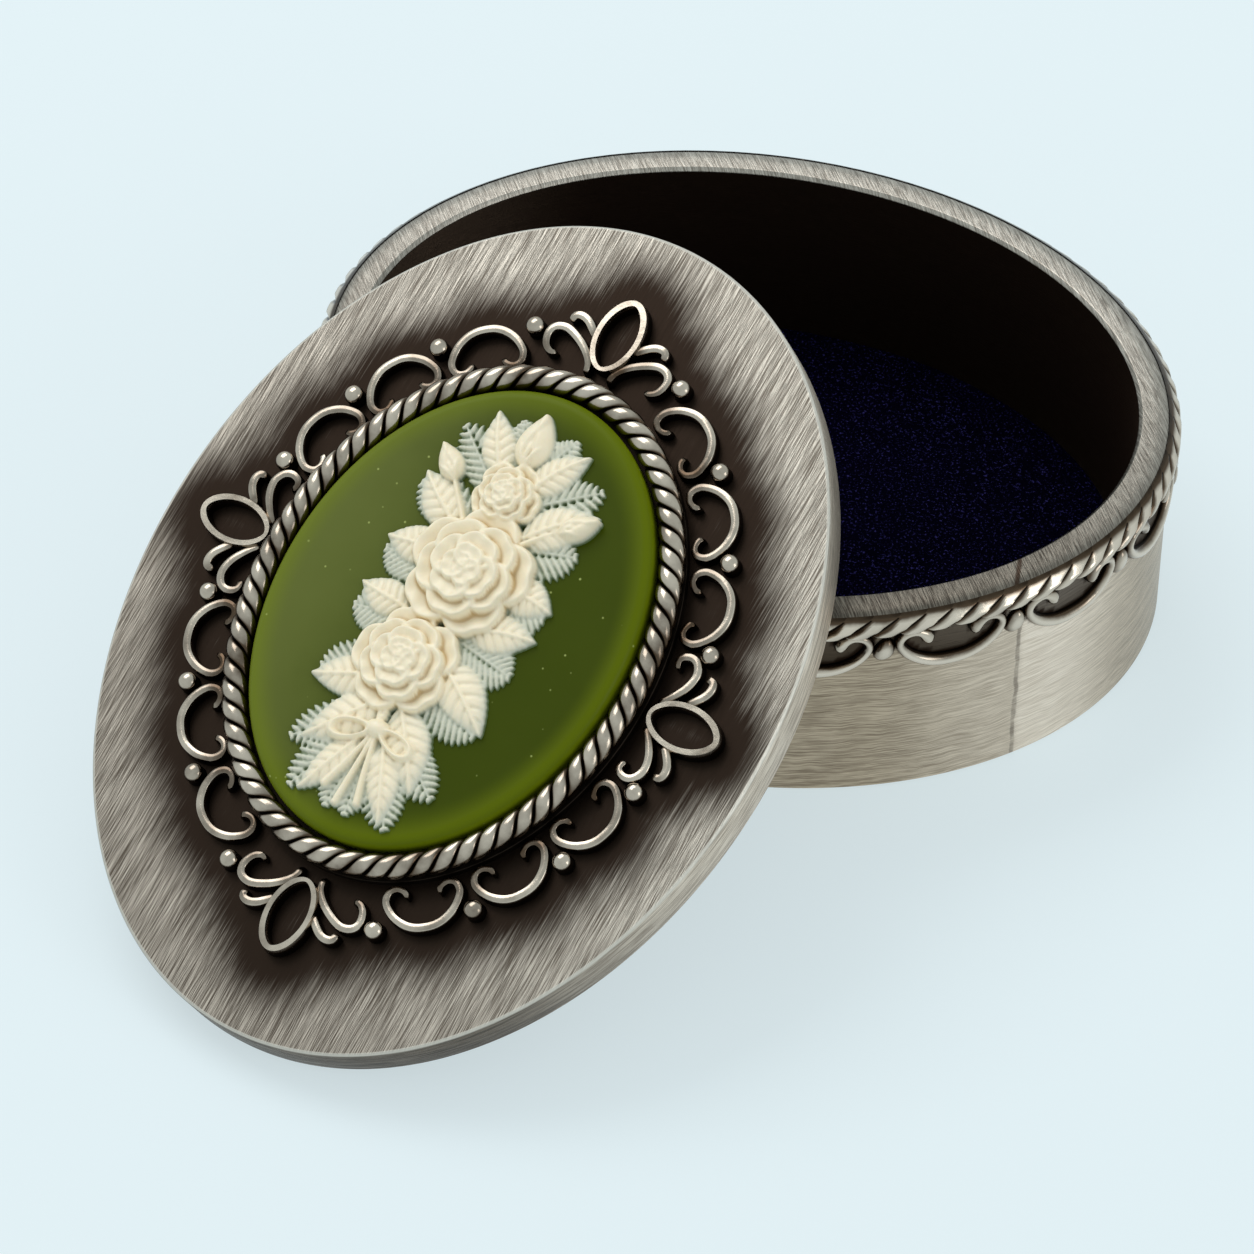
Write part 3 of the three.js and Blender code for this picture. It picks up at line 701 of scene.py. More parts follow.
def relief_resin():
    """Cream where it is thick and blue-white where it is thin, with painted shade in its hollows."""
    mat, tree, shader = material("cream_resin", Roughness=0.4, IOR=1.48, Subsurface_Weight=0.12,
                                 Subsurface_Scale=0.4 * MM, Subsurface_Radius=(1.0, 0.75, 0.5))
    place = millimetres(tree, SETTING)
    height = components(place)[2] - TABLET_TOP
    painted_crevice_shade = attribute(tree, "painted_crevice_shade")
    warm = blend(noise(place, 0.5, 3.0), (246, 233, 200), (250, 241, 214))
    # painted shade: hollows are coloured warmer and darker
    warm = blend(painted_crevice_shade, warm, (206, 178, 128))
    thin = blend(smooth(height, 0.08, 0.42), (104, 122, 84), (204, 208, 190))
    thin = blend(painted_crevice_shade * 0.6, thin, (88, 104, 72))
    fill(shader.inputs["Base Color"], blend(smooth(height, 0.3, 0.9), thin, warm))
    bump(shader, noise(place, 2.6, 4.0, 0.6), 0.06, 0.5)
    return mat


MATERIALS = {
    "lid": lid_metal(), "wall": wall_metal(), "trim": trim_metal(), "dark": dark_metal(), "velvet": velvet(),
    "tablet": tablet_resin(), "relief": relief_resin(),
}


def dress(piece, body, slot, *nodes):
    """Says what a piece rides on and hides the nodes that it replaces; slot is not used."""
    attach(piece, body)
    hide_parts(*nodes)


def widened(oval, reach):
    return (oval[0] + reach, oval[1] + reach)


# Box

def scroll_line(width, height, wire_width, curl=0.26):
    """Middle line of a C-scroll, tip to tip, back up; its curls stand on y = 0 and roll in by a share."""
    half = np.array([(0, 1), (0.3, 0.97), (0.58, 0.85), (0.84, 0.62), (0.99, 0.3), (0.9, 0.06), (0.68, 0),
                     (0.48, curl * 0.4), (0.44, curl)]) * ((width - wire_width) / 2, height - wire_width)
    return spline(np.vstack([half[:0:-1] * (-1, 1), half]), 72)


GALLERY_OVAL = widened((BOX_HALF_LENGTH, BOX_HALF_WIDTH), 0.05)
GALLERY_SCROLL = (GALLERY_SCROLL_WIDTH, GALLERY_SCROLL_HEIGHT, GALLERY_WIRE)
GALLERY_SCROLL_FOOT = GALLERY_SCROLL_TOP - GALLERY_WIRE / 2

# Lower edge of the dark field behind a scroll: distances from the scroll's middle, and heights
FIELD_REACH = (0, 1.4, 2.6, 3.7, 4.4, 5.5)
FIELD_EDGE = (14.4, 14.5, 15.0, 15.9, 17.0, 18.2)


def gallery_run():
    """Angles round the gallery, the way run to each and the way run to the seam."""
    turn, run = oval_run(*GALLERY_OVAL)
    return turn, run, float(np.interp(math.radians(SEAM_ANGLE) % (2 * math.pi), turn, run))


def box_wall():
    """Oval band with a rolled rim, dark inside and where the gallery lies, with painted shade along the
    scroll wires.
    """
    bevel, chamfer = 0.35, 0.3
    profile = rounded([
        (WALL, 0, 0), (bevel, 0, 0), (0, bevel, 0), (0, BOX_HEIGHT - 0.45, 0.35),
        (0.5, BOX_HEIGHT - 0.12, 0.3), (1.2, BOX_HEIGHT, 0.3),
        (WALL - chamfer, BOX_HEIGHT, 0.06), (WALL, BOX_HEIGHT - chamfer, 0.06)], 4)
    # More rows where the patina changes
    start = 1 + max(i for i, (inset, z) in enumerate(profile) if z <= bevel and inset < 1)
    rows = profile[:start] + [(0.0, z) for z in np.linspace(1.5, 19.0, 36)] + profile[start:]
    rows += [(WALL, z) for z in np.linspace(BOX_HEIGHT - 2, 1.0, 12)]
    rings = oval_rings(BOX_HALF_LENGTH, BOX_HALF_WIDTH, rows, WALL_ROUND)
    turn, run, seam = gallery_run()
    pitch = run[-1] / GALLERY_REPEATS
    angles = np.linspace(0, 2 * math.pi, WALL_ROUND, endpoint=False)
    across = (np.interp(angles, turn, run) - seam) % pitch - pitch / 2
    path = scroll_line(*GALLERY_SCROLL) * (1, -1) + (0, GALLERY_SCROLL_FOOT)
    patina, rim, inside = [], [], []
    for inset, z in rows:
        within = inset > WALL - 0.01
        share = np.full(WALL_ROUND, float(within and z < BOX_HEIGHT - bevel))
        if inset < 1e-6:
            near = np.hypot(across[:, None] - path[:, 0], z - path[:, 1]).min(axis=1)
            field = np.where(z > np.interp(np.abs(across), FIELD_REACH, FIELD_EDGE), 0.72, 0.0)
            # beside: a dark band along the scroll wire, partly patina in the crevice and partly painted shade
            beside = np.exp(-(np.maximum(near - 0.42, 0) / 0.3) ** 2)
            under_rope = np.clip((z - 17.4) / 0.8, 0, 1) * 0.8
            share = np.maximum(np.maximum(field, beside), under_rope)
        patina.append(share)
        rim.append(np.full(WALL_ROUND, float(z > BOX_HEIGHT - 0.46)))
        inside.append(np.full(WALL_ROUND, float(within)))
    piece = new_piece("box_wall_smooth", rings, lofted(rings, closed=True), MATERIALS["wall"],
                      {"patina": patina, "rim": rim, "inside": inside}, sharp=28)
    dress(piece, "box", "brushed_pewter", "box_wall")


def box_floor():
    rings = oval_rings(BOX_HALF_LENGTH - WALL, BOX_HALF_WIDTH - WALL, [(0, 0), (0, FLOOR_TOP)])
    count = 2 * ROUND
    piece = new_piece("box_floor_smooth", rings, lofted(rings), MATERIALS["wall"],
                      {"patina": [0.6] * count, "rim": [1.0] * count, "inside": [0.0] * count})
    dress(piece, "box", "brushed_pewter", "box_floor")


def velvet_pad():
    """Velvet over a card, drawn round its edge and a little uneven."""
    side_top = FLOOR_TOP + 0.9
    profile = [(0.0, FLOOR_TOP), (-0.05, FLOOR_TOP + 0.4), (0.0, side_top)]
    bend = np.linspace(0.2, math.pi / 2, 6)
    profile += [(0.6 * (1 - math.cos(a)), side_top + 0.45 * math.sin(a)) for a in bend]
    profile += [(inset, PAD_TOP - 0.35 * math.exp(-inset / 3.0)) for inset in np.linspace(1.4, 23.5, 28)]
    rings = oval_rings(BOX_HALF_LENGTH - PAD_INSET, BOX_HALF_WIDTH - PAD_INSET, profile)
    wave = np.sin(rings[:, :, 0] * 0.31 + 1.0) * np.sin(rings[:, :, 1] * 0.37 + 2.0)
    rings[3:, :, 2] += 0.05 * wave[3:]
    piece = new_piece("velvet_pad_cloth", rings, lofted(rings), MATERIALS["velvet"], sharp=0)
    dress(piece, "box", "navy_velvet", "velvet_pad")


def leaf_band(pitch):
    """Flat rope of one repeat, unrolled: leaning leaves with lens-shaped slits, X along, Y out, Z up."""
    half = np.array([0.0, 0.12, 0.25, 0.34, 0.4, 0.44, 0.47, 0.5])
    across = np.concatenate([-half[:0:-1], half])
    leaf_pitch, slant = pitch / STRANDS_PER_REPEAT, 2.8
    top, shoulder = BOX_HEIGHT - 0.16, BOX_HEIGHT - 0.45
    heights = np.concatenate([np.linspace(0, 0.2, 5), np.linspace(0.27, 0.83, 9), np.linspace(0.87, 1.0, 4)])
    points, crown = [], []
    for v in heights:
        slit = 0.42 * math.sin(math.pi * min(1.0, 0.14 + v)) ** 0.6 if v < 0.86 else 0.0
        lean = slant * (v - 0.5) - 0.1 * math.sin(2 * math.pi * v)
        # worn: above 1 near the leaves' foot it is a painted highlight, and it falls off towards their top
        worn = 1.16 - 0.8 * float(eased(v, 0.7, 0.95))
        for k in range(STRANDS_PER_REPEAT):
            for d in across[:-1] if k < STRANDS_PER_REPEAT - 1 else across:
                low = GALLERY_ROPE_FOOT + 0.04 + 0.3 * abs(2 * d) ** 3
                z = low + v * (top - low)
                swell = math.sin(math.pi / 2 * min(1.0, (z - low) / 0.32)) ** 0.6
                level = min(0.66, max(0.0, (shoulder - z) / 1.05)) * (1 - 0.14 * (2 * d) ** 2)
                edge = (0.5 - abs(d)) * leaf_pitch * 0.75
                groove = float(eased(edge, 0.03, slit + 0.03)) if slit > 0.01 else 1.0
                out = level * swell * (0.35 + 0.65 * groove) + 0.03 - max(0.0, z - shoulder) * 1.3
                points.append(((k + 0.5 + d) * leaf_pitch + lean, out, z))
                crown.append(groove * min(1.0, 0.3 + swell) * worn - 0.2 * max(0.0, d))
    row = len(points) // len(heights)
    faces = [(a, a + 1, a + row + 1, a + row)
             for r in range(len(heights) - 1) for a in range(r * row, (r + 1) * row - 1)]
    return points, faces, crown


def gallery_bead():
    """A leaning, pear-shaped bead on the unrolled wall."""
    columns, rows = 18, 7
    pear, lean, foot = 0.16, 0.22, -0.05
    points, crown = [], []
    for i in range(rows):
        a = math.pi / 2 * i / (rows - 0.5)
        share = math.cos(a) ** 0.7
        for b in np.linspace(0, 2 * math.pi, columns, endpoint=False):
            up = math.sin(b)
            across = GALLERY_BEAD_WIDTH / 2 * math.cos(b) * (1 - pear * up) + lean * up
            points.append((across * share, foot + (GALLERY_DEPTH + 0.06) * math.sin(a),
                           GALLERY_ROPE_FOOT - GALLERY_BEAD_DROP + GALLERY_BEAD_LENGTH / 2 * share * up))
            # crown above 1 on the bead's top: painted highlight
            crown.append(1.2 * math.sin(a) ** 0.8)
    return points, [face[::-1] for face in lofted(in_rings(points, columns))], crown


def gallery_scroll(pitch):
    """A scroll on the unrolled wall, wider at its back and at its bulbous tips."""
    path = scroll_line(*GALLERY_SCROLL, curl=0.4) * (1, -1)
    steps = np.arange(len(path))
    from_tip = np.minimum(steps, steps[::-1])
    widths = tapered(len(path), GALLERY_WIRE, 0.72)
    widths *= 1 + 0.3 * np.exp(-((steps - 32) / 14.0) ** 2)
    widths *= 1 + 0.8 * np.exp(-((from_tip - 3) / 2.6) ** 2)
    points, faces, crown = wire(path, widths, GALLERY_DEPTH, -0.1, ROUND_SECTION, 0.92)
    foot = GALLERY_SCROLL_FOOT - GALLERY_SCROLL_DROP
    return [(x + pitch / 2, z, y + foot) for x, y, z in points], [face[::-1] for face in faces], crown


def gallery():
    """Stamped strip under the rim: a flat rope over scrolls and beads, in Geometry Nodes."""
    _, run, seam = gallery_run()
    pitch = run[-1] / GALLERY_REPEATS
    points, faces, crown = merged([leaf_band(pitch), gallery_scroll(pitch), gallery_bead()])
    unit = new_piece("gallery_repeat", points, faces, MATERIALS["trim"], {"crown": crown}, sharp=60)
    piece = grown("gallery_trim", ROW_ROUND_OVAL, {
        "Piece": unit, "Repeats": GALLERY_REPEATS, "Half length": GALLERY_OVAL[0] * MM,
        "Half width": GALLERY_OVAL[1] * MM, "Start": seam * MM, "Material": MATERIALS["trim"]}, used=(unit,))
    dress(piece, "box", "antiqued_trim", "gallery_strip")


# Lid

ROPE_OVAL = widened((CAMEO_HALF_LENGTH, CAMEO_HALF_WIDTH), ROPE_GAP + ROPE_WIDTH / 2)
ROPE_OUTER = widened(ROPE_OVAL, ROPE_WIDTH / 2)
CURL_OVAL = widened(ROPE_OUTER, CURL_OUT)
CURL_LENGTH = oval_length(*CURL_OVAL)
SCROLL_PITCH = (CURL_LENGTH / 4 - sum(FINIAL_SPANS) * FINIAL_LENGTH) / SCROLLS_PER_QUARTER
SCROLL_PATH = scroll_line(SCROLL_PITCH - SCROLL_SIDE_GAP, SCROLL_HEIGHT, WIRE_WIDTH)

# Hooks of the finials, in shares of the finial's length
LEAF_HOOK = ((0.38, 0.27), (0.52, 0.44), (0.56, 0.56), (0.53, 0.645), (0.44, 0.66))
SIDE_HOOK = ((0.03, 0.15), (0.15, 0.27), (0.27, 0.45), (0.31, 0.63), (0.25, 0.765), (0.15, 0.81),
             (0.045, 0.775), (0.015, 0.7), (0.06, 0.62))
END_HOOK = ((-0.1, 0.16), (0.05, 0.19), (0.185, 0.31), (0.29, 0.48), (0.35, 0.66), (0.31, 0.8), (0.2, 0.85),
            (0.06, 0.8), (0.0, 0.7), (0.035, 0.63))

# Foot and direction of the finials
END_FOOT = ROPE_OUTER[0] + END_FINIAL_OUT
SIDE_FOOT = ROPE_OUTER[1] + FINIAL_OUT
END_FEET = (((END_FOOT, 0), 0.0), ((-END_FOOT, 0), math.pi))
SIDE_FEET = (((0, SIDE_FOOT), math.pi / 2), ((0, -SIDE_FOOT), -math.pi / 2))
# A label, the outer hook, the feet and the nodes that both finials replace
FINIALS = (
    ("end_finials", END_HOOK, END_FEET, ("finial_top", "finial_bottom")),
    ("side_finials", SIDE_HOOK, SIDE_FEET, ("finial_left", "finial_right")),
)


def on_curls(way):
    """Point and angle at a way along the curls' oval."""
    turn, run = oval_run(*CURL_OVAL)
    angle = float(np.interp(way % CURL_LENGTH, run, turn))
    return np.array([CURL_OVAL[0] * math.cos(angle), CURL_OVAL[1] * math.sin(angle)]), angle


def places_round(first, count):
    """Places on the curls' oval, as in the part's source: point, outward direction and way run to there."""
    quarter = [FINIAL_SPANS[0] * FINIAL_LENGTH + (first + i) * SCROLL_PITCH for i in range(count)]
    half = quarter + [CURL_LENGTH / 2 - way for way in reversed(quarter)]
    places = []
    for way in half + [CURL_LENGTH / 2 + way for way in half]:
        point, angle = on_curls(way)
        out = np.array([CURL_OVAL[1] * math.cos(angle), CURL_OVAL[0] * math.sin(angle)])
        places.append((point, out / np.linalg.norm(out), way))
    return places


def scroll_places():
    """Places of the scrolls, moved in so that their curls touch the rope where the oval bends."""
    bend = 0.68 * (SCROLL_PITCH - SCROLL_SIDE_GAP) / 2
    spots = []
    for point, out, way in places_round(0.5, SCROLLS_PER_QUARTER):
        sag = float((point - on_curls(way + bend)[0]) @ out)
        spots.append((point - out * sag, math.atan2(out[1], out[0]) - math.pi / 2))
    return spots


def grain_places():
    outs = GRAIN_OUTS + GRAIN_OUTS[::-1]
    return [(point + out * outs[i % len(outs)], 0.0)
            for i, (point, out, _) in enumerate(places_round(0, SCROLLS_PER_QUARTER + 1))]


def finial_loop():
    """Outline and pointed hole of a finial's loop along +X from its foot."""
    turn = np.linspace(0, 2 * math.pi, 64, endpoint=False)
    outer = np.column_stack([FINIAL_LENGTH / 2 * (1 + np.cos(turn)), FINIAL_WIDTH / 2 * np.sin(turn)])
    half = (FINIAL_LENGTH - FINIAL_FOOT_WIRE - FINIAL_TIP_WIRE) / 2
    tall = FINIAL_HOLE_WIDTH / 2 * np.sign(np.sin(turn)) * np.abs(np.sin(turn)) ** 1.3
    return outer, np.column_stack([FINIAL_FOOT_WIRE + half * (1 + np.cos(turn)), tall])


def finial_hooks(outer_hook):
    """Middle lines and tip shares of a finial's four hooks."""
    lines = [(spline(np.array(hook) * FINIAL_LENGTH, count), tip)
             for hook, count, tip in ((outer_hook, 48, 0.66), (LEAF_HOOK, 24, 0.8))]
    return [(line * (1, side), tip) for side in (1, -1) for line, tip in lines]


def grain(columns=28):
    """An upright peg with a domed head, standing on z = 0."""
    head = GRAIN_RADIUS * 0.8
    shoulder = GRAIN_TOP - head
    profile = [(1.04, 0.0), (1.0, 0.15), (1.0, shoulder)]
    profile += [(math.cos(a), shoulder + head * math.sin(a)) for a in np.linspace(0.2, math.pi / 2 - 0.05, 8)]
    turn = np.linspace(0, 2 * math.pi, columns, endpoint=False)
    points = [(GRAIN_RADIUS * share * math.cos(b), GRAIN_RADIUS * share * math.sin(b), z)
              for share, z in profile for b in turn]
    crown = [1.04 * float(eased(z / GRAIN_TOP, 0.45, 0.8)) for _, _, z in points]
    return points, lofted(in_rings(points, columns)), crown


def marked_places(name, spots):
    """Points of a mesh that castings are set on, each with its turn."""
    mesh = bpy.data.meshes.new(name)
    mesh.from_pydata([(x * MM, y * MM, 0) for (x, y), _ in spots], [], [])
    layer = mesh.attributes.new("turn", "FLOAT", "POINT")
    layer.data.foreach_set("value", np.array([turn for _, turn in spots], dtype=np.float32))
    return linked(name, mesh)


def numbered(name, count):
    """Names of the nodes that a row of castings replaces."""
    return [f"{name}_{i:02d}" for i in range(1, count + 1)]


def filigree():
    """Scrolls, grains and finials, each cast once and set round the rope in Geometry Nodes."""
    tree = on_places_tree()
    scroll = wire(SCROLL_PATH, tapered(len(SCROLL_PATH), WIRE_WIDTH, 0.66), WIRE_TOP, tip_wear=0.7)
    castings = [
        ("scrolls", scroll, scroll_places(), numbered("scroll", 4 * SCROLLS_PER_QUARTER)),
        ("grains", grain(), grain_places(), numbered("grain", 4 * (SCROLLS_PER_QUARTER + 1))),
    ]
    for label, hook, feet, nodes in FINIALS:
        parts = [band(*finial_loop(), FINIAL_TOP)]
        parts += [wire(line, tapered(len(line), WIRE_WIDTH, tip, 0.06), WIRE_TOP, tip_wear=0.8)
                  for line, tip in finial_hooks(hook)]
        castings.append((label, merged(parts), feet, nodes))
    for label, (points, faces, crown), spots, nodes in castings:
        unit = new_piece(label + "_casting", points, faces, MATERIALS["trim"], {"crown": crown}, sharp=60)
        places = marked_places(label + "_marks", spots)
        values = {"Places": places, "Piece": unit, "Material": MATERIALS["trim"]}
        piece = grown("filigree_" + label, tree, values, place=SETTING, used=(unit, places))
        dress(piece, "lid", "antiqued_trim", *nodes)


def filigree_points():
    """Points all along the filigree, in the lid's plane, for the halo."""
    clouds = []

    def set_on(points, spots):
        for place, turn in spots:
            rotation = np.array([[math.cos(turn), -math.sin(turn)], [math.sin(turn), math.cos(turn)]])
            clouds.append(points @ rotation.T + place)
    set_on(SCROLL_PATH, scroll_places())
    for _, hook, feet, _ in FINIALS:
        set_on(np.vstack([finial_loop()[0], *[line for line, _ in finial_hooks(hook)]]), feet)
    clouds.append(np.array([place for place, _ in grain_places()]))
    return np.vstack(clouds) + (SETTING_SHIFT, 0)


def lid_plate():
    """Flat oval plate with bevelled edges, dark round the filigree."""
    # Inset, height, and how far each ring belongs to the side and to the painted highlight along the edge
    edge = ((0.3, -LID_THICKNESS, 1.0, 0.0), (0.1, -LID_THICKNESS + 0.05, 1.0, 0.0),
            (0.0, -LID_THICKNESS + 0.28, 1.0, 0.0), (0.0, -0.24, 1.0, 0.1), (0.06, -0.1, 0.4, 0.9),
            (0.2, 0.0, 0.0, 0.7))
    rings = oval_rings(LID_HALF_LENGTH, LID_HALF_WIDTH, [ring[:2] for ring in edge], LID_ROUND)
    face = oval_rings(LID_HALF_LENGTH - 0.3, LID_HALF_WIDTH - 0.3, [(0, 0)], LID_ROUND)[0]
    shares = np.linspace(1, 0, 64)[:-1]
    points = np.concatenate([rings, [face * (share, share, 1) for share in shares]])
    flat = points.reshape(-1, 3)
    cloud = filigree_points()
    near = np.concatenate([np.hypot(*(some[:, None, :2] - cloud[None]).transpose(2, 0, 1)).min(axis=1)
                           for some in np.array_split(flat, 8)])
    reach = np.hypot((flat[:, 0] - SETTING_SHIFT) / (ROPE_OVAL[0] + 2.5), flat[:, 1] / (ROPE_OVAL[1] + 2.5))
    halo = np.where(reach < 1, 1.0, np.clip(1.15 - near / 5.4, 0, 1))
    halo[:len(edge) * LID_ROUND] = 0
    # bright: the share of the painted edge highlight on each ring
    side, bright = (np.repeat([ring[k] for ring in edge] + [0.0] * len(shares), LID_ROUND) for k in (2, 3))
    piece = new_piece("lid_plate_smooth", points, lofted(points), MATERIALS["lid"],
                      {"halo": halo, "side": side, "edge": bright}, sharp=30, place=LID)
    dress(piece, "lid", "brushed_pewter", "lid_plate")


def lid_ring():
    top, low = -LID_THICKNESS + 0.02, -LID_THICKNESS - ROPE_GAP - RING_DEPTH
    profile = rounded([(RING_INSET + RING_THICKNESS, low, 0.1), (RING_INSET, low, 0.3), (RING_INSET, top, 0),
                       (RING_INSET + RING_THICKNESS, top, 0)], 3)
    rings = oval_rings(LID_HALF_LENGTH, LID_HALF_WIDTH, profile)
    piece = new_piece("lid_ring_smooth", rings, lofted(rings, closed=True), MATERIALS["dark"], place=LID)
    dress(piece, "lid", "dark_pewter", "lid_locating_ring")


def bezel_plate():
    reach = -ROPE_GAP - ROPE_WIDTH - 0.05
    profile = [(reach, CAST_FOOT), (reach, PLATE_TOP - 0.05), (reach + 0.05, PLATE_TOP), (2.0, PLATE_TOP)]
    rings = oval_rings(CAMEO_HALF_LENGTH, CAMEO_HALF_WIDTH, profile)
    piece = new_piece("bezel_plate_smooth", rings, lofted(rings), MATERIALS["dark"], place=SETTING)
    dress(piece, "lid", "dark_pewter", "bezel_plate")


def rope():
    """Twisted rope bezel: one strand with its slits, laid round the cameo in Geometry Nodes."""
    oval = widened(ROPE_OVAL, ROPE_SHIFT)
    pitch = oval_length(*oval) / ROPE_STRANDS
    middle, reach, slant = 1.93, math.radians(172), 0.66
    across = 0.5 * np.sin(np.linspace(-math.pi / 2, math.pi / 2, 15))
    rows, sides = 35, len(across)
    points, crown = [], []
    for a in np.linspace(-reach, reach, rows):
        tall = 1.28 if abs(a) > math.pi / 2 else 1.0
        for d in across:
            slit = float(eased((0.5 - abs(d)) * pitch * 0.8, 0.0, 0.2))
            radius = 0.6 + 0.19 * slit + 0.16 * math.cos(math.pi * d) ** 0.8
            points.append((d * pitch - slant * a, ROPE_SPREAD * radius * math.sin(a),
                           max(PLATE_TOP - 0.01, middle + tall * radius * math.cos(a))))
            crown.append(slit * (0.5 + 0.52 * math.cos((a - 0.2) * 0.8)) * (1.0 - 0.2 * (2 * d) ** 2))
    faces = [(r * sides + k, (r + 1) * sides + k, (r + 1) * sides + k + 1, r * sides + k + 1)
             for r in range(rows - 1) for k in range(sides - 1)]
    unit = new_piece("rope_strand", points, faces, MATERIALS["trim"], {"crown": crown}, sharp=0)
    piece = grown("rope_strands", ROW_ROUND_OVAL, {
        "Piece": unit, "Repeats": ROPE_STRANDS, "Half length": oval[0] * MM, "Half width": oval[1] * MM,
        "Start": pitch / 2 * MM, "Material": MATERIALS["trim"]}, place=SETTING, used=(unit,))
    dress(piece, "lid", "antiqued_trim", "rope_bezel")


def tablet():
    """Green tablet with a rounded edge."""
    foot, bend = PLATE_TOP + 0.01, 0.9
    profile = [(0.3, foot), (0.05, foot + 0.15), (0.0, foot + 0.4)]
    profile += [(bend * (1 - math.sin(a)), TABLET_TOP - bend * (1 - math.cos(a)))
                for a in np.linspace(math.pi / 2, 0.0, 9)]
    profile += [(inset, TABLET_TOP) for inset in (1.0, 2.5, 6.0, 11.0, 15.2)]
    rings = oval_rings(CAMEO_HALF_LENGTH, CAMEO_HALF_WIDTH, profile)
    piece = new_piece("cameo_tablet_smooth", rings, lofted(rings), MATERIALS["tablet"],
                      sharp=60, place=SETTING)
    dress(piece, "lid", "green_resin", "cameo_tablet")


# Relief: every form is a height in millimetres over the tablet on a grid of places, and NOTHING where it ends
NOTHING = -0.3


def local(grid, place, degrees):
    """Coordinates along and across a form that starts at a place."""
    c, s = math.cos(math.radians(degrees)), math.sin(math.radians(degrees))
    x, y = grid[0] - place[0], grid[1] - place[1]
    return x * c + y * s, y * c - x * s


def dome(reach):
    """Height of a round form, 1 in its middle and 0 at its edge."""
    return np.sqrt(np.clip(1 - reach ** 2, 0, 1))


def leaf_form(grid, place, degrees, length, width, height, veins=7):
    """A pointed, serrated leaf with a midrib and side veins, bent down at its tip."""
    ahead, across = local(grid, place, degrees)
    across = across + 0.1 * length * ((ahead / length) ** 2 - ahead / length)
    t = np.clip(ahead / length, 0, 1)
    tooth = 1 + 0.07 * (np.mod(t * veins * 2 - 0.5, 1) - 0.5)
    half = width / 2 * (np.sin(math.pi * t ** 0.8) ** 0.85) * tooth + 1e-4
    s = np.abs(across) / half
    vein = np.abs(np.mod((t - s * 0.16) * veins, 1) - 0.5) * 2
    body = height * (0.45 + 0.55 * np.sin(math.pi * np.clip(t * 0.9 + 0.08, 0, 1)))
    rise = body * (1 - 0.5 * s ** 2) - 0.16 * (1 - eased(vein, 0.1, 0.5)) * (1 - s * 0.6)
    rise = np.maximum(rise, (body + 0.1) * (np.abs(across) < 0.16))
    rise = rise * (1 - eased(s, 0.82, 1.0)) + NOTHING * eased(s, 0.9, 1.08)
    return np.where((ahead > 0) & (ahead < length), rise, NOTHING)


def petal_form(grid, place, degrees, reach, length, width, foot, height):
    """A cupped rose petal whose rolled lip is higher than its middle, leaning over its neighbour."""
    ahead, across = local(grid, place, degrees)
    u, v = (ahead - reach) / (length / 2), across / (width / 2)
    notch = 0.1 * np.exp(-(v / 0.28) ** 2) * (u > 0)
    r = np.hypot(u, v) + notch
    lip = height * (0.62 + 0.38 * eased(r, 0.35, 0.86)) + 0.1 * v * height
    crease = 0.05 * np.cos(v * 9) * eased(r, 0.2, 0.8)
    rise = (foot + lip + crease) * (1 - eased(r, 0.9, 1.02)) + NOTHING * eased(r, 0.94, 1.1)
    return np.where(r < 1.3, rise, NOTHING)


# Rings of a rose's petals: how many, and their reach, length, width, foot and height in shares of the rose's
ROSE_RINGS = ((5, 0.58, 0.86, 0.98, 0.12, 0.36), (5, 0.42, 0.74, 0.84, 0.4, 0.34),
              (4, 0.27, 0.6, 0.72, 0.66, 0.26), (3, 0.14, 0.42, 0.5, 0.84, 0.16))


def rose_form(grid, place, radius, height, turn):
    """A full rose from above: rings of petals, each higher and smaller, round a spiral heart."""
    petals = []
    for ring, (count, reach, length, width, foot, lift) in enumerate(ROSE_RINGS):
        for k in range(count):
            angle = turn + 360 * k / count + ring * 37
            petals.append(petal_form(grid, place, angle, reach * radius, length * radius, width * radius,
                                     (foot + 0.03 * k / count) * height, lift * height))
    x, y = local(grid, place, 0)
    r = np.hypot(x, y) / radius
    swirl = 0.5 + 0.5 * np.cos(np.arctan2(y, x) - r * 42 + math.radians(turn))
    heart = height * (0.9 + 0.1 * swirl) * (1 - eased(r, 0.17, 0.21)) + NOTHING * eased(r, 0.17, 0.25)
    return np.maximum.reduce([*petals, heart])


def bud_form(grid, place, degrees, length, width, height):
    """A closed bud: an egg of wrapped petals with sepals at its foot."""
    ahead, across = local(grid, place, degrees)
    t = np.clip(ahead / length, 0, 1)
    half = width / 2 * np.sin(math.pi * t ** 0.75) ** 0.7 + 1e-4
    s = across / half
    wrap = 0.12 * np.tanh((across - width * 0.12 * np.sin(t * 5)) * 9)
    wrap = wrap - 0.1 * np.tanh((across + width * 0.2 - t * width * 0.3) * 9)
    egg = (height * (0.35 + 0.65 * np.sin(math.pi * (0.15 + 0.75 * t))) + wrap) * dome(s)
    bud = np.where((ahead > 0) & (ahead < length) & (np.abs(s) < 1), egg, NOTHING)
    for lean in (-24, 0, 24):
        sepal = leaf_form(grid, place, degrees + lean, length * 0.62, width * 0.3, height * 0.8, 2)
        bud = np.maximum(bud, sepal + 0.12 * (bud > 0))
    return bud


def stem_form(grid, points, width, height):
    """A round stem along a smooth line, thinner towards its end."""
    rise = np.full(grid[0].shape, NOTHING)
    steps = 60
    for i, (x, y) in enumerate(spline(points, steps)):
        r = np.hypot(grid[0] - x, grid[1] - y) / (width / 2 * (1 - 0.35 * i / (steps - 1)))
        rise = np.maximum(rise, np.where(r < 1, height * dome(r), NOTHING))
    return rise


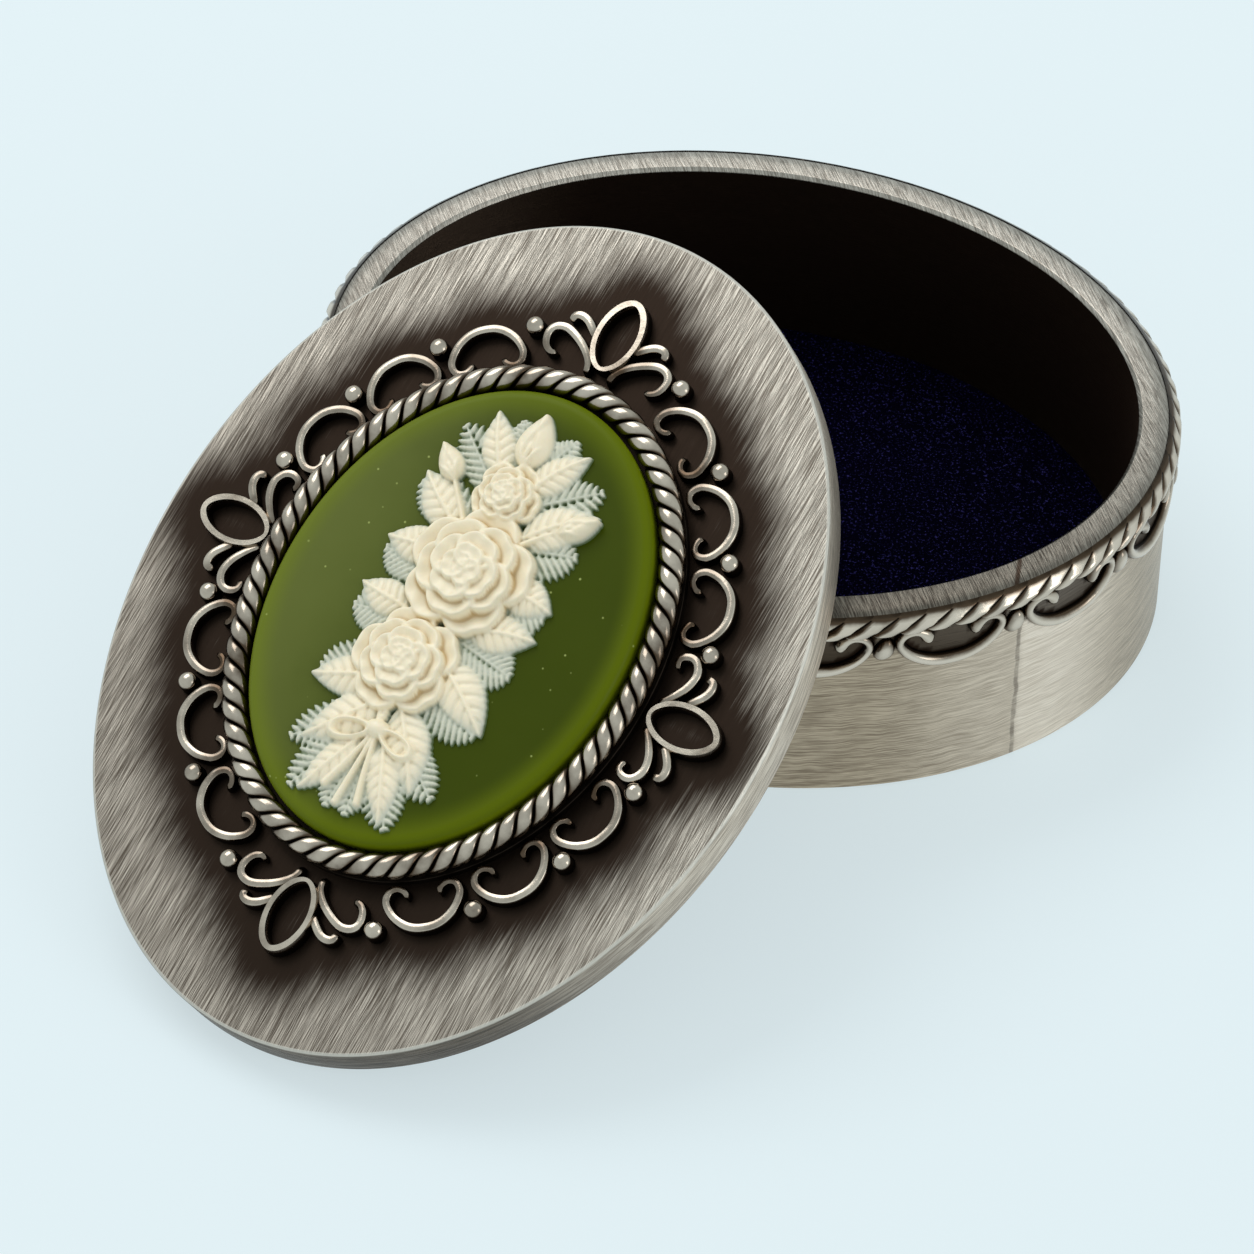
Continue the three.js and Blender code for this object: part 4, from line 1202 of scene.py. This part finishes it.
def frond_form(grid, place, degrees, length, spread):
    """A thin fern frond: leaflets in pairs along a bent rib."""
    def on_rib(t, heading):
        return (place[0] + length * t * math.cos(heading), place[1] + length * t * math.sin(heading))
    leaflets, bend, splay = 11, 16, 52
    forms = []
    for k in range(leaflets):
        t = (k + 0.6) / leaflets
        heading = math.radians(degrees + bend * t / 2)
        size = spread * math.sin(math.pi * (0.2 + 0.78 * t)) ** 0.8
        for side in (splay, -splay):
            leaflet = degrees + bend * t + side
            forms.append(leaf_form(grid, on_rib(t, heading), leaflet, size, size * 0.34 + 0.25, 0.34, 1))
    tip = on_rib(1, heading)
    middle = ((place[0] + tip[0]) / 2, (place[1] + tip[1]) / 2)
    return np.maximum.reduce([*forms, stem_form(grid, [place, middle, tip], 0.42, 0.42)])


def ribbon_form(grid, place):
    """The bow that ties the stems: two loops, two tails and a knot."""
    x, y = local(grid, place, 0)
    r = np.hypot(x / 0.85, y / 1.15)
    forms = [np.where(r < 1, 1.55 * dome(r) ** 0.7, NOTHING)]
    for degrees, length, width in ((112, 4.4, 2.5), (-104, 4.2, 2.4)):
        ahead, across = local(grid, place, degrees)
        u, v = (ahead - length / 2) / (length / 2), across / (width / 2)
        r = np.hypot(u, v * (1.25 - 0.35 * u))
        ring = np.exp(-((r - 0.74) / 0.26) ** 2)
        forms.append(np.where(r < 1.02, 1.1 * ring + 0.22 - 0.5 * eased(r, 0.94, 1.02), NOTHING))
    for degrees, length in ((152, 6.0), (-146, 5.4)):
        ahead, across = local(grid, place, degrees)
        half = 0.55 + 0.09 * ahead
        off = np.abs(across + 0.45 * np.sin(ahead * 1.15)) / half
        flat = 0.62 + 0.16 * np.cos(ahead * 2.3) - 0.1 * off ** 2
        shown = (ahead > 0) & (ahead < length - 0.55 * (1 - off)) & (off < 1)
        forms.append(np.where(shown, flat, NOTHING))
    return np.maximum.reduce(forms)


# The spray, in millimetres and degrees from its middle. Place, heading, length and spread of the fronds
FRONDS = (
    ((-9.5, 0.6), 120, 7.6, 2.6), ((-5.5, 1.0), 104, 6.8, 2.8), ((-1.5, 1.5), 92, 6.0, 2.8),
    ((2.5, 1.5), 80, 6.0, 2.8), ((6.5, 1.0), 64, 7.0, 2.8), ((9.5, 0.5), 44, 8.0, 2.6),
    ((12.0, 0.2), 18, 5.2, 2.0), ((-9.5, -0.6), -134, 7.6, 2.6),
    ((-5.5, -1.0), -120, 6.8, 2.8), ((-1.5, -1.5), -108, 6.0, 2.8), ((2.5, -1.5), -96, 6.0, 2.8),
    ((6.5, -1.0), -82, 6.6, 2.8), ((9.5, -0.5), -62, 7.6, 2.6), ((12.0, -0.2), -34, 5.4, 2.0),
    ((-11.0, 1.0), 144, 7.6, 2.6), ((-11.0, -1.0), -160, 7.6, 2.6), ((-12.0, 0.3), 166, 6.0, 2.2),
    ((-12.0, -0.3), 178, 6.0, 2.2),
)
# Place, heading, length and width of the leaves and buds
LEAVES = (
    ((-8.0, 0.8), 140, 7.6, 4.2), ((-8.2, -0.6), -144, 7.6, 4.2), ((-3.6, -1.6), -124, 7.6, 4.3),
    ((-6.6, 2.0), 112, 6.2, 3.9), ((4.4, 3.0), 98, 5.0, 3.7), ((3.8, -3.4), -96, 4.6, 3.7),
    ((6.4, 2.6), 56, 6.2, 3.9), ((7.6, -2.4), -50, 6.8, 4.0), ((-0.6, -2.4), -76, 5.8, 3.8),
    ((-1.0, 3.0), 84, 4.9, 3.5),
    ((11.6, 1.6), 32, 6.0, 3.3), ((11.2, -1.0), -34, 6.0, 3.3), ((-11.6, 1.0), 156, 6.7, 3.1),
    ((-11.6, -1.0), -154, 6.7, 3.1),
)
BUDS = (((13.0, 0.3), 4, 4.9, 3.3), ((9.9, 4.9), 46, 3.6, 2.3), ((9.3, -5.2), -48, 3.6, 2.3))
# Lines of the stems
STEMS = (
    ((-11.0, 0.0), (-4.0, 0.6), (4.0, -0.3), (11.0, 0.2), (13.8, 0.4)),
    ((-10.8, 0.1), (-6.0, 1.6), (-3.5, 2.0)),
    ((-16.8, -1.5), (-14.0, -0.7), (-10.5, 0.0)), ((-17.4, 0.2), (-14.0, 0.1), (-10.5, 0.0)),
    ((-16.4, 1.8), (-13.8, 0.9), (-10.5, 0.1)), ((6.0, 1.5), (9.0, 4.2), (10.4, 5.4)),
    ((6.0, -1.5), (8.6, -4.2), (9.8, -5.6)),
)
# Place, radius, height and turn of the roses, and place of the bow
ROSES = (((10.4, 0.3), 3.1, 2.0, 50), ((-5.0, 0.9), 4.7, 2.4, 20), ((3.6, -0.2), 5.6, 2.8, 0))
BOW = (-10.8, 0.0)


def around(field):
    """Mean of each inner cell's four neighbours."""
    return (field[:-2, 1:-1] + field[2:, 1:-1] + field[1:-1, :-2] + field[1:-1, 2:]) / 4


def relief():
    """Moulded flower spray: two roses, buds, leaves and fern fronds on stems tied with a ribbon."""
    step, margin, half_width = 0.085, 0.4, 8.1
    grid = np.meshgrid(*(np.arange(-half - margin, half + margin, step)
                         for half in (SPRAY_LENGTH / 2, half_width)), indexing="ij")
    forms = [frond_form(grid, *frond) for frond in FRONDS]
    forms += [stem_form(grid, line, 0.8, 0.95) for line in STEMS]
    forms += [leaf_form(grid, *leaf, 0.95) for leaf in LEAVES]
    forms += [bud_form(grid, *bud, 1.5) for bud in BUDS]
    forms += [rose_form(grid, *rose) for rose in ROSES]
    field = np.maximum.reduce([*forms, ribbon_form(grid, BOW)])
    for _ in range(2):
        field[1:-1, 1:-1] = field[1:-1, 1:-1] * 0.5 + around(field) * 0.5
    wide = np.maximum(field, 0)
    for _ in range(14):
        wide[1:-1, 1:-1] = around(wide)
    # painted shade: how far each point lies below its blurred surroundings
    painted_crevice_shade = eased(wide - field, 0.02, 0.3)
    shown = field > -0.2
    cells = shown[:-1, :-1] | shown[1:, :-1] | shown[:-1, 1:] | shown[1:, 1:]
    corners = np.zeros(field.shape, dtype=bool)
    for a in (slice(None, -1), slice(1, None)):
        for b in (slice(None, -1), slice(1, None)):
            corners[a, b] |= cells
    index = np.full(field.shape, -1)
    index[corners] = np.arange(corners.sum())
    points = np.column_stack([grid[0][corners], grid[1][corners], TABLET_TOP + field[corners]])
    i, j = np.nonzero(cells)
    faces = np.column_stack([index[i, j], index[i + 1, j], index[i + 1, j + 1], index[i, j + 1]])
    piece = new_piece("cameo_relief_moulded", points, faces.tolist(), MATERIALS["relief"],
                      {"painted_crevice_shade": painted_crevice_shade[corners]}, sharp=0, place=SETTING)
    dress(piece, "lid", "cream_resin", "cameo_relief")


ROW_ROUND_OVAL = round_oval_tree()
for build in (box_wall, box_floor, velvet_pad, gallery, lid_plate, lid_ring, bezel_plate, rope, filigree,
              tablet, relief):
    build()


# Studio

def seen(tree):
    """1 for rays from the camera and for those that metal and glass send on."""
    path = add(tree, "ShaderNodeLightPath").outputs
    return calc("MAXIMUM", Field(path["Is Glossy Ray"]),
                calc("MAXIMUM", Field(path["Is Camera Ray"]), path["Is Transmission Ray"]))


def sky():
    """A world that lights plainly and shows the photograph's background."""
    world = bpy.data.worlds.new("studio")
    bpy.context.scene.world = world
    world.use_nodes = True
    tree = world.node_tree
    tree.nodes.clear()
    shown = result(tree, "ShaderNodeBackground", {"Color": SKY, "Strength": 1.0})
    light = result(tree, "ShaderNodeBackground", {"Color": (0.95, 0.98, 1.0, 1), "Strength": 0.62})
    mixed = result(tree, "ShaderNodeMixShader", {0: seen(tree), 1: light, 2: shown})
    add(tree, "ShaderNodeOutputWorld", {0: mixed})


def floor():
    """Paper that takes the shadow and is partly as bright as the background."""
    bpy.ops.mesh.primitive_circle_add(vertices=96, radius=1.6, fill_type="NGON")
    ground = bpy.context.object
    ground.name = "studio_floor"
    mat, tree, shader = material("floor_paper", Roughness=0.9, Specular_IOR_Level=0.0, Base_Color=SKY)
    bright = result(tree, "ShaderNodeEmission", {"Color": SKY, "Strength": 1.0})
    paper = result(tree, "ShaderNodeMixShader", {0: seen(tree) * 0.66, 1: shader.outputs[0], 2: bright})
    fill(tree.nodes["Material Output"].inputs["Surface"], paper)
    ground.data.materials.append(mat)


def softbox(name, place, size, power):
    """A rectangular lamp that faces the middle of the row."""
    lamp = bpy.data.lights.new(name, "AREA")
    lamp.shape = "RECTANGLE"
    lamp.size, lamp.size_y = size
    lamp.energy = power
    piece = linked(name, lamp)
    piece.location = place
    piece.rotation_euler = (-Vector(place)).to_track_quat("-Z", "Y").to_euler()


def camera():
    data = bpy.data.cameras.new("camera")
    data.lens = CAMERA_LENS
    data.sensor_width = CAMERA_SENSOR
    data.clip_start = 0.01
    piece = linked("camera", data)
    az, el = math.radians(CAMERA_AZIMUTH), math.radians(CAMERA_ELEVATION)
    away = Vector((math.sin(az) * math.cos(el), -math.cos(az) * math.cos(el), math.sin(el)))
    piece.location = (Vector(CAMERA_TARGET) + away * CAMERA_DISTANCE) * MM
    piece.rotation_euler = (-away).to_track_quat("-Z", "Y").to_euler()
    bpy.context.scene.camera = piece


bpy.context.scene.view_settings.view_transform = "Standard"
sky()
floor()
softbox("key", (-0.4, 0.3, 0.78), (0.7, 0.5), 3.6)
softbox("fill", (0.85, -0.3, 0.45), (0.35, 0.5), 1.2)
camera()
